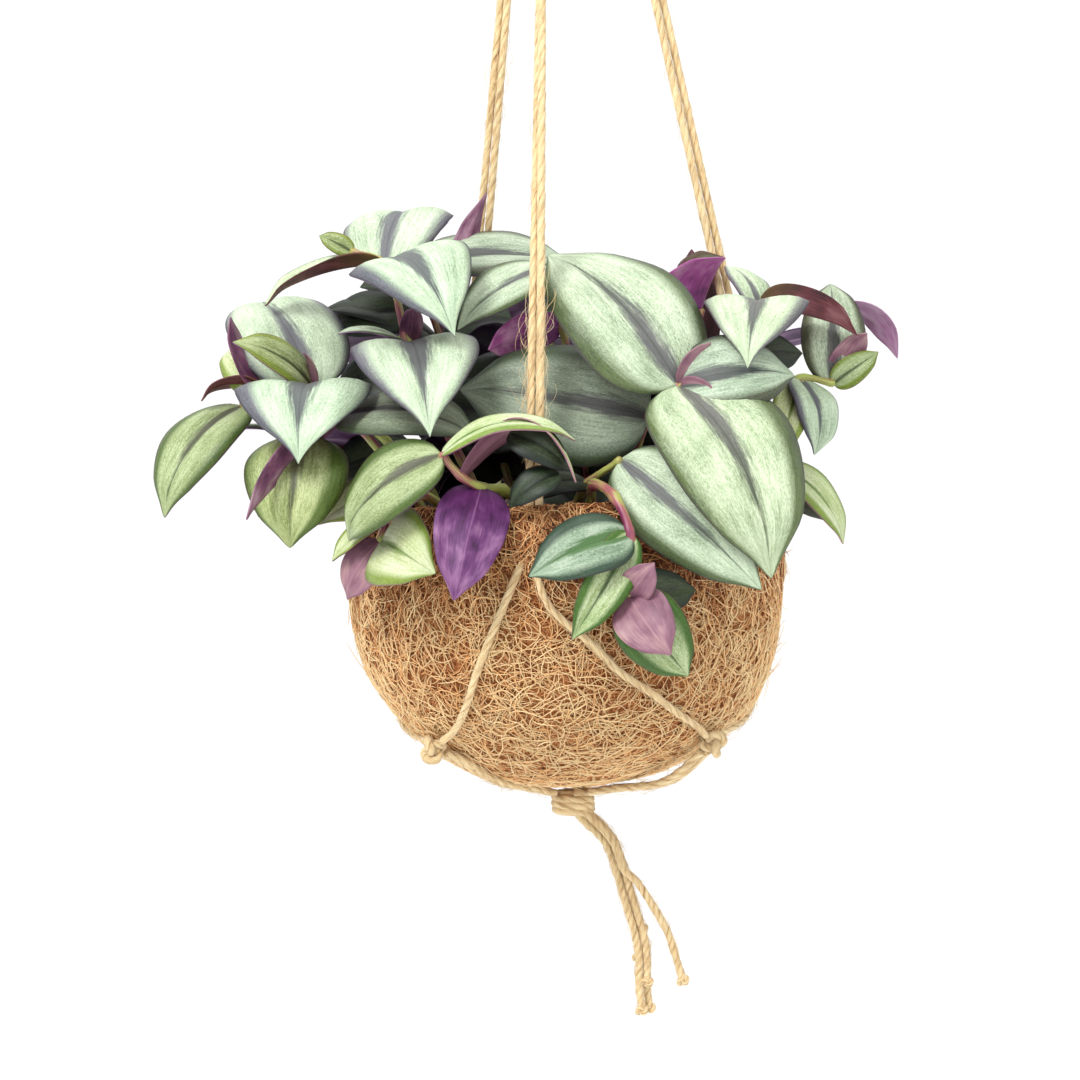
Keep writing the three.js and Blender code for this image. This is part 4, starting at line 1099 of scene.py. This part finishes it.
def hairs(name, routes, amount, length, lift, seed):
    """Loose hairs that lift off cords. Each starts on one of the routes, at the cord's skin."""
    hair = bpy.context.scene.plant_jute.hair / MM
    rng = np.random.default_rng(seed)
    lengths = np.array([length_of(r) for r in routes])
    chosen = rng.choice(len(routes), amount, p=lengths / lengths.sum())
    k = 7
    paths = np.empty((amount, k, 3))
    outward = np.empty((amount, 3))
    for i, c in enumerate(chosen):
        points = routes[c]
        at = rng.integers(1, len(points) - 2)
        tangent = unit(points[at + 1] - points[at - 1])
        side = rng.normal(size=3)
        side = unit(side - side.dot(tangent) * tangent)
        start = points[at] + side * STRAND * 0.44
        reach = length * rng.uniform(0.4, 1.3)
        sign = rng.choice([-1, 1])
        out = lift * rng.uniform(0.1, 1.0) ** 2
        bend = unit(np.cross(tangent, side)) * rng.normal(0, 0.35)
        s = np.linspace(0, 1, k)[:, None]
        rise = np.sin(s * rng.uniform(1.4, 3.0)) * out
        paths[i] = start + tangent * sign * reach * s + side * rise + bend * reach * s**2 * 0.5
        outward[i] = side
    radii = hair / 2 * rng.uniform(0.6, 1.2, amount)
    return fibre_mesh(name, paths, radii, rng.uniform(0.3, 1, amount), outward)


class PLANT_OT_jute_hair(bpy.types.Operator):
    """Frays the cords: hairs along all of them, and tufts where the photograph's are worn"""

    bl_idname = "plant.jute_hair"
    bl_label = "Jute hair"

    def execute(self, context):
        material = made_once("hair", loose_jute, context.scene.plant_jute)
        wall = [smooth_route(wall_strand(*row), 2) for row in WALL_ROUTES]
        under = [smooth_route(under_strand(knot, side), 2) for knot in range(3) for side in (-1, 1)]

        def leg_stretch(legs, spacing, low=-math.inf, high=math.inf):
            routes = [smooth_route(leg_strand(leg, side), spacing) for leg in legs for side in (-1, 1)]
            return [r[(r[:, 2] > low) & (r[:, 2] < high)] for r in routes]

        sets = {  # the routes, how many hairs, their length, how far they lift off, seed
            "jute_hair_legs": (leg_stretch(range(3), 2), 1500, 7, 1.6, 1),
            "jute_hair_wall": (wall + under, 1500, 6, 1.4, 2),
            "jute_hair_tails": ([smooth_route(tail_strand(*tail), 2) for tail in TAILS], 700, 7, 1.3, 3),
            "jute_hair_frayed": (leg_stretch([0], 1, 126, 190), 260, 12, 5.5, 5),
            "jute_hair_frayed_back": (leg_stretch([2], 1, 268, 300), 70, 9, 4, 6),
        }
        for name, row in sets.items():
            keep(new_object(name, hairs(name, *row), material), "jute")
        return {"FINISHED"}


# ---- The bowl ----
class PLANT_OT_bowl(bpy.types.Operator):
    """Spins the coir bowl's thick wall and draws up its rim where the legs pull on it"""

    bl_idname = "plant.coir_bowl"
    bl_label = "Coir bowl"

    def execute(self, context):
        outline = smooth_route(
            [(r, 0, z) for r, z in [(0, 0), *BOWL_OUTSIDE, *RIM, *BOWL_INSIDE, (0, BOWL_FLOOR)]], 2.0
        )
        mesh = bpy.data.meshes.new("coir_bowl_body")
        mesh.from_pydata(outline.tolist(), [(i, i + 1) for i in range(len(outline) - 1)], [])
        obj = new_object("coir_bowl_body", mesh, made_once("coir_mat", coir_mat, context.scene.plant_coir))
        only(obj)
        bpy.ops.object.mode_set(mode="EDIT")
        bpy.ops.mesh.select_all(action="SELECT")
        bpy.ops.mesh.spin(steps=144, angle=2 * math.pi, center=(0, 0, 0), axis=(0, 0, 1))
        bpy.ops.mesh.select_all(action="SELECT")
        bpy.ops.mesh.remove_doubles(threshold=0.05)
        bpy.ops.mesh.normals_make_consistent(inside=False)
        bpy.ops.object.mode_set(mode="OBJECT")
        points = points_of(obj.data)
        radius, height = np.hypot(points[:, 0], points[:, 1]), points[:, 2]
        azimuth = np.degrees(np.arctan2(points[:, 0], -points[:, 1]))
        wider, higher = give(azimuth, radius, height)
        rng = np.random.default_rng(7)
        # Smaller than its form by the fibres' depth, and lumpy.
        lumpy = radius + wider * np.minimum(1, radius / 10) - FIBRE_DEPTH + rng.normal(0, 0.25, len(points))
        points[:, :2] *= np.where(radius > 1, lumpy / np.maximum(radius, 1), 1)[:, None]
        points[:, 2] = height + higher + np.where(height > 20, rng.normal(0, 0.2, len(points)), 0.9)
        move_points(obj.data, points)
        bpy.ops.object.shade_smooth()
        keep(obj, "coir", "coir_bowl")
        return {"FINISHED"}


def coir_fibres(
    name, amount, low, high, length, seed, tone, stand=0.0, combed=0.0, lean_red=0.0, azimuths=None, thick=1.0
):
    """Meshes of fibres on the bowl between two distances along its profile. Combed is the share that
    runs up and down, stand how far their ends lift off, and the rim shade how much darker and redder
    they are painted towards the rim, as painted shade under the overhanging leaves. Too many for one
    piece are parted into those at the front and those at the back."""
    fibre = bpy.context.scene.plant_coir.fibre / MM * thick
    rng = np.random.default_rng(seed)
    k = 7
    # More of them where the bowl is wider, so that they are as dense all over.
    runs = rng.uniform(low, high, amount * 4)
    radius = np.interp(runs, PROFILE_RUN, PROFILE[:, 0])
    runs = runs[rng.uniform(0, PROFILE[:, 0].max(), len(runs)) < radius][:amount]
    n = len(runs)
    azimuth = rng.uniform(-180, 180, n) if azimuths is None else rng.normal(azimuths[0], azimuths[1], n)
    reach = length * rng.uniform(0.45, 1.35, n)
    heading = rng.uniform(0, 2 * math.pi, n)
    up = np.pi / 2 * rng.choice([-1, 1], n) + rng.normal(0, 0.35, n)
    heading = np.where(rng.uniform(0, 1, n) < combed, up, heading)
    curl = rng.normal(0, 1.5, n)
    wave = rng.uniform(0, 2 * math.pi, n)
    sunk = rng.uniform(-1.3, 0.35, n)
    base_lift = sunk - 0.9 * (1 - smoothstep(runs, 20, 70))
    step = reach / (k - 1)
    a, s = azimuth.copy(), runs.copy()
    paths = np.empty((n, k, 3))
    rise = rng.uniform(0.2, 1, n) ** 3 * stand
    for i in range(k):
        share = i / (k - 1)
        hump = 0.55 * np.sin(math.pi * share) + rise * share**2
        paths[:, i] = bowl_point(a, np.clip(s, 0.5, PROFILE_RUN[-1] - 1), base_lift + hump)
        turned = heading + curl * share + 0.35 * np.sin(wave + 5 * share)
        s = s + step * np.sin(turned)
        wide = np.maximum(np.interp(s, PROFILE_RUN, PROFILE[:, 0]), 6)
        a = a + np.degrees(step * np.cos(turned) / wide)
    outward = unit(bowl_point(azimuth, runs, 1.0) - bowl_point(azimuth, runs, 0.0))
    height = np.interp(runs, PROFILE_RUN, PROFILE[:, 1])
    # Painted shade: darker and redder towards the rim, where the leaves overhang it.
    tones = rng.uniform(tone[0], tone[1], n) - lean_red * smoothstep(height, 66, 98)
    tones += 0.1 * np.sin(np.radians(azimuth) * 5 + height / 9) * np.sin(height / 14 + 1)
    # Painted shade: the more deeply sunk fibres are darker, as if shaded by those over them.
    tones += 0.3 * (sunk + 0.4)  # the deeper ones are darker
    radii = fibre / 2 * rng.uniform(0.6, 1.25, n)
    front = np.cos(np.radians(azimuth)) > 0
    parts = {f"{name}_front": front, f"{name}_back": ~front} if n > MOST_FIBRES else {name: front | ~front}
    return [
        fibre_mesh(part, paths[of], radii[of], np.clip(tones[of], 0, 1), outward[of]) for part, of in parts.items()
    ]


class PLANT_OT_fibres(bpy.types.Operator):
    """Covers the bowl with tangled coir fibres, combed upwards, darker and redder near the rim with painted shade
    under the leaves
    """

    bl_idname = "plant.coir_fibres"
    bl_label = "Coir fibres"

    def execute(self, context):
        amount = context.scene.plant_coir.amount
        top = PROFILE_RUN[-1] - 2
        shoulder, belly = run_at(88), run_at(30)
        sets = (  # the place, how many, between which distances, their length, seed, tones, and what else
            ("foot", int(amount * 0.2), 2, belly, 16, 21, (0.44, 1.12), {}),
            ("wall", int(amount * 0.42), belly - 4, shoulder, 15, 22, (0.42, 1.1), {"lean_red": 0.45}),
            # The rim's and the ear's lower tones are painted shade under the leaves, on top of the rim shade.
            ("rim", int(amount * 0.38), shoulder - 5, top, 15, 23, (0.36, 1.0),
             {"lean_red": 0.5, "combed": 0.4, "stand": 1.5}),
            ("loose", 900, 4, top - 3, 15, 24, (0.5, 1.0), {"lean_red": 0.2, "stand": 5, "thick": 0.7}),
            ("ear", 520, run_at(92), RIM_RUN + 4, 17, 25, (0.28, 0.7),
             {"combed": 0.75, "stand": 2.5, "azimuths": (LEGS[0][1], 8)}),
        )
        material = made_once("coir_fibre", coir_fibre, context.scene.plant_coir)
        for name, *row, extra in sets:
            for mesh in coir_fibres(f"coir_fibres_{name}", *row, **extra):
                keep(new_object(mesh.name, mesh, material), "coir")
        return {"FINISHED"}


class PLANT_OT_soil(bpy.types.Operator):
    """Fills the bowl with crumbly potting soil, mounded in the middle"""

    bl_idname = "plant.potting_soil"
    bl_label = "Potting soil"

    def execute(self, context):
        deselect()
        depth = SOIL_TOP - BOWL_FLOOR - 4
        centre = to_metres((0, 0, SOIL_TOP - 3 - depth / 2))
        bpy.ops.mesh.primitive_cylinder_add(
            vertices=96, radius=73 * MM, depth=depth * MM, location=centre, end_fill_type="NGON"
        )
        obj = context.view_layer.objects.active
        obj.name = obj.data.name = "potting_soil_fill"
        bpy.ops.object.transform_apply(location=True, rotation=True, scale=True)
        bpy.ops.object.mode_set(mode="EDIT")
        bpy.ops.mesh.select_mode(type="FACE")
        bpy.ops.mesh.select_all(action="DESELECT")
        bpy.ops.object.mode_set(mode="OBJECT")
        for face in obj.data.polygons:
            face.select = face.normal.z > 0.9
        bpy.ops.object.mode_set(mode="EDIT")
        for _ in range(30):
            bpy.ops.mesh.inset(thickness=2.3 * MM, depth=0)
        bpy.ops.mesh.poke()
        bpy.ops.object.mode_set(mode="OBJECT")
        points = points_of(obj.data) / MM - POT_ORIGIN
        radius, height = np.hypot(points[:, 0], points[:, 1]), points[:, 2]
        top = height > SOIL_TOP - 5
        rng = np.random.default_rng(31)
        crown = np.interp(radius, [0, 30, 60, 73], [SOIL_TOP + SOIL_CROWN, SOIL_TOP + 2, SOIL_TOP, SOIL_TOP - 3])
        points[:, 2] = np.where(top, crown + rng.normal(0, 0.45, len(points)), height)
        points[:, :2] *= np.where(top, 1, 0.42)[:, None]  # narrower below, as the bowl is
        move_points(obj.data, points)
        bpy.ops.object.shade_smooth()
        obj.data.materials.append(made_once("soil", peat_soil))
        keep(obj, "soil", "potting_soil")
        return {"FINISHED"}


# ---- The plant ----
def leaf_outline(t, shoulder, taper):
    """A leaf's width from base (0) to tip (1), as a share of its greatest: the greater the shoulder the
    rounder its base, and the greater the taper the longer its point."""
    peak = shoulder / (shoulder + taper)
    body = t**shoulder * (1 - t) ** taper / (peak**shoulder * (1 - peak) ** taper)
    slim = 1 - 0.42 * smoothstep(t, 0.78, 1.0)
    return np.maximum(body * slim, np.where(t < 0.5, 0.09, 0.006))


def blade_blank():
    """The flat grid that every leaf starts as."""
    deselect()
    bpy.ops.mesh.primitive_grid_add(x_subdivisions=COLUMNS, y_subdivisions=ROWS, size=2, location=(0, 0, 0))
    blank = bpy.context.view_layer.objects.active
    blank.name = "blade_blank"
    return blank


def shaped_leaf(name, blank, base, row, seed):
    """A copy of the blank, bent into one leaf: a blade with a midrib, arched and folded as its row says."""
    _, tip, face, width, arch, fold, twist, upper, under = row
    rng = random.Random(seed)
    obj = blank.copy()
    obj.data = blank.data.copy()
    obj.name = obj.data.name = name
    bpy.context.scene.collection.objects.link(obj)
    grid = points_of(obj.data)
    c, v = grid[:, 0], (grid[:, 1] + 1) / 2
    u = -np.sign(c) * np.abs(c) ** 1.2  # turned about, so that the grid's upper side is the leaf's
    t = 0.45 * v + 0.55 * (1 - np.cos(math.pi * v)) / 2
    root = np.array(base, float)
    chord = np.array(tip, float) - root
    length = np.linalg.norm(chord)
    along = chord / length
    up = np.array(face, float)
    up = unit(up - up.dot(along) * along)
    across = np.cross(up, along)
    slope = 4 * arch * (1 - 2 * t) / length
    normal = unit(up[None] - slope[:, None] * along)
    spin = np.radians(twist * t)[:, None]
    side = across * np.cos(spin) + normal * np.sin(spin)
    lift = normal * np.cos(spin) - across * np.sin(spin)
    half = width / 2 * leaf_outline(t, *((0.62, 1.0) if upper == "heart" else (0.42, 0.72)))
    spine = root + along * (length * t)[:, None] + up * (4 * arch * t * (1 - t))[:, None]
    folded = fold * half * (np.sqrt(u**2 + 0.01) - 0.1)
    cushion = 0.055 * half * np.sin(math.pi * np.abs(u)) * np.sin(math.pi * t)
    rolled = -(0.05 + 0.1 * min(1, width / 40)) * half * np.abs(u) ** 4
    phase = 2 * math.pi * (rng.uniform(1.1, 1.7) * t + rng.random()) + (u > 0) * rng.uniform(0, 3)
    wave = 0.022 * width * u**2 * np.sin(phase)
    groove = -0.3 * np.exp(-((u * half / 1.1) ** 2)) * min(1, width / 20)
    curl = -0.05 * length * smoothstep(t, 0.72, 1) ** 2 * rng.uniform(0, 1) * (1 if arch >= 0 else -1)
    rise = folded + cushion + rolled + wave * np.sin(math.pi * t) + groove + curl
    sway = 0.012 * length * math.sin(rng.uniform(-3, 3)) * np.sin(math.pi * t) ** 2
    points = spine + side * (u * half + sway)[:, None] + lift * rise[:, None]
    move_points(obj.data, points)
    give_vectors(obj.data, {
        "blade": np.stack([u, t, np.full(len(t), rng.random())], -1),
        "veins": np.stack([u * width / 2, t * length, np.full(len(t), seed * 7.3)], -1),
    })
    obj.data.materials.clear()
    obj.data.materials.append(upper_side(upper))
    obj.data.materials.append(under_side(under))
    only(obj)
    bpy.ops.object.shade_smooth()
    thick = obj.modifiers.new("thickness", "SOLIDIFY")
    thick.thickness = bpy.context.scene.plant_leaf.blade
    thick.offset = 0
    thick.material_offset = 1
    thick.material_offset_rim = 1
    thick.use_even_offset = False
    bpy.ops.object.modifier_apply(modifier="thickness")
    return obj


def stem_tube(name, points, seed):
    """The stem itself, thickest at its nodes."""
    route = [np.array(points[0]) - (0, 0, 20), *[np.array(p, float) for p in points]]
    run_points = smooth_route(route, 1.5)
    rng = np.random.default_rng(seed)
    tangent, normal, binormal = frames_along(run_points, (0.4, -0.7, 0.3))
    count, sides = len(run_points), 10
    near = np.min([np.linalg.norm(run_points - np.array(p, float), axis=1) for p in points[1:]], axis=0)
    swell = 0.86 + 0.3 * np.exp(-((near / 3.2) ** 2))
    share = np.linspace(0, 1, count)
    swell *= 1 - 0.3 * smoothstep(share, 0.45, 1)
    angle = np.arange(sides) * 2 * math.pi / sides
    radius = STEM / 2 * swell[:, None] * (1 + 0.03 * rng.normal(size=(count, sides)))
    ring = rings(run_points, radius, angle, normal, binormal)
    run = np.arange(count) * length_of(run_points) / (count - 1)
    skin = np.broadcast_arrays(run[:, None] + seed * 50, angle * STEM / 2, seed * 3.1)
    skin = np.stack(skin, -1).reshape(-1, 3)
    vertices = np.vstack([ring.reshape(-1, 3), run_points[:1], run_points[-1:] + tangent[-1:] * 1.2])
    skin = np.vstack([skin, skin[:1], skin[-1:]])
    mesh = mesh_from(name, vertices, tube_faces(count, sides), {"skin": skin})
    return new_object(name, mesh, made_once("stem", juicy_stem))


def inner_leaves(blank):
    """Dark leaves deep inside the plant, on twigs too hidden to be modelled: near black with painted
    shade, they fill it as seen from the front."""
    rng = random.Random(5)
    rows = [(base, tip, (0, -0.8, 0.5), width) for base, tip, width in INNER_PLACED]
    for _ in range(INNER_LEAVES):
        azimuth = rng.uniform(-180, 180)
        out = rng.uniform(0.1, 1)
        base = around(azimuth, 12 + 34 * out, rng.uniform(104, 178 - 30 * out))
        heading = azimuth + rng.uniform(-70, 70)
        x, y, _ = around(heading, rng.uniform(20, 34), 0)
        tip = (base[0] + x, base[1] + y, base[2] + rng.uniform(-14, 12))
        if min(base[1], tip[1]) < -26:
            continue  # it would come through the leaves at the front
        x, y, _ = around(azimuth, 0.8, 0)
        rows.append((base, tip, (x, y, rng.uniform(0.3, 1)), rng.uniform(20, 28)))
    leaves = []
    for i, (base, tip, face, width) in enumerate(rows):
        # Near black above and below: painted shade.
        row = (0, tip, face, width, 4, 0.1, 0, "dark", "shade")
        leaves.append(shaped_leaf(f"inner_leaf_{i + 1}", blank, base, row, 900 + i))
    return leaves


class PLANT_OT_stems(bpy.types.Operator):
    """Grows the leafy stems, each with its leaves, all from one flat blank"""

    bl_idname = "plant.leafy_stems"
    bl_label = "Leafy stems"

    def execute(self, context):
        blank = blade_blank()
        for number, (name, (points, leaves)) in enumerate(STEMS.items()):
            tube = stem_tube(f"leafy_{name}", points, number + 1)
            blades = [
                shaped_leaf(f"{name}_leaf_{i + 1}", blank, points[row[0]], row, 100 * number + i)
                for i, row in enumerate(leaves)
            ]
            keep(joined([tube, *blades], tube.name), "leafy_stem", name)
        keep(joined(inner_leaves(blank), "leaves_in_the_shade"), "leafy_stem")
        bpy.data.objects.remove(blank)
        return {"FINISHED"}


# ---- The stage ----
class PLANT_OT_stage(bpy.types.Operator):
    """Sets a white floor that curves up into a backdrop, and soft studio lights"""

    bl_idname = "plant.stage"
    bl_label = "Stage"

    def execute(self, context):
        stage = context.scene.plant_stage
        deselect()
        bpy.ops.mesh.primitive_grid_add(x_subdivisions=2, y_subdivisions=60, size=1, location=(0, 0, 0))
        floor = context.view_layer.objects.active
        floor.name = floor.data.name = "paper_sweep"
        long, wide, flat, bend = 7.5, 9, 4.6, 0.9  # metres of paper, of it flat, and the bend's radius
        for vertex in floor.data.vertices:
            run = (vertex.co.y + 0.5) * long
            x = vertex.co.x * wide
            if run < flat:
                y, z = run, 0.0
            elif run < flat + bend * math.pi / 2:
                turn = (run - flat) / bend
                y, z = flat + bend * math.sin(turn), bend * (1 - math.cos(turn))
            else:
                y, z = flat + bend, bend + run - flat - bend * math.pi / 2
            vertex.co = (x, y - 2.2, z - stage.drop)
        only(floor)
        bpy.ops.object.shade_smooth()
        floor.data.materials.append(photo_paper(stage.paper))
        world = bpy.data.worlds.new("studio")
        world.use_nodes = True
        sky = world.node_tree.nodes["Background"].inputs
        sky["Color"].default_value, sky["Strength"].default_value = (1, 1, 1, 1), 0.95
        context.scene.world = world
        lamps = (  # name, place, width in metres, watts
            ("key", (-0.7, -1.1, 0.7), 0.7, 22), ("fill", (1.2, -1.1, 0.1), 1.4, 3), ("top", (0.1, 0.2, 1.2), 1.0, 6),
        )
        for name, place, width, power in lamps:
            light = bpy.data.lights.new(name, "AREA")
            light.shape = "DISK"
            light.size = width
            light.energy = power
            lamp = bpy.data.objects.new(name, light)
            context.scene.collection.objects.link(lamp)
            lamp.location = place
            target = Vector((0, 0, -0.42))
            lamp.rotation_euler = (target - lamp.location).to_track_quat("-Z", "Y").to_euler()
        context.scene.view_settings.view_transform = "Standard"
        return {"FINISHED"}


OPERATORS = (
    PLANT_OT_camera, PLANT_OT_legs, PLANT_OT_tails, PLANT_OT_wall_strands, PLANT_OT_knots, PLANT_OT_loop,
    PLANT_OT_jute_hair, PLANT_OT_bowl, PLANT_OT_fibres, PLANT_OT_soil, PLANT_OT_stems, PLANT_OT_stage,
)
SETTINGS = {
    "plant_jute": PLANT_PG_jute, "plant_coir": PLANT_PG_coir,
    "plant_leaf": PLANT_PG_leaf, "plant_stage": PLANT_PG_stage,
}


class PLANT_PT_panel(bpy.types.Panel):
    """The plant's settings and the operators that build it"""

    bl_idname = "PLANT_PT_panel"
    bl_label = "Hanging tradescantia"
    bl_space_type = "VIEW_3D"
    bl_region_type = "UI"
    bl_category = "Plant"

    def draw(self, context):
        for key, group in SETTINGS.items():
            box = self.layout.box()
            for prop in group.__annotations__:
                box.prop(getattr(context.scene, key), prop)
        for operator in OPERATORS:
            self.layout.operator(operator.bl_idname)


def register():
    for group in SETTINGS.values():
        bpy.utils.register_class(group)
    for key, group in SETTINGS.items():
        setattr(bpy.types.Scene, key, bpy.props.PointerProperty(type=group))
    for operator in OPERATORS:
        bpy.utils.register_class(operator)
    bpy.utils.register_class(PLANT_PT_panel)


def unregister():
    bpy.utils.unregister_class(PLANT_PT_panel)
    for operator in reversed(OPERATORS):
        bpy.utils.unregister_class(operator)
    for key, group in SETTINGS.items():
        delattr(bpy.types.Scene, key)
        bpy.utils.unregister_class(group)


def main():
    register()
    for operator in OPERATORS:
        group, name = operator.bl_idname.split(".")
        getattr(getattr(bpy.ops, group), name)()


if __name__ == "__main__":
    main()
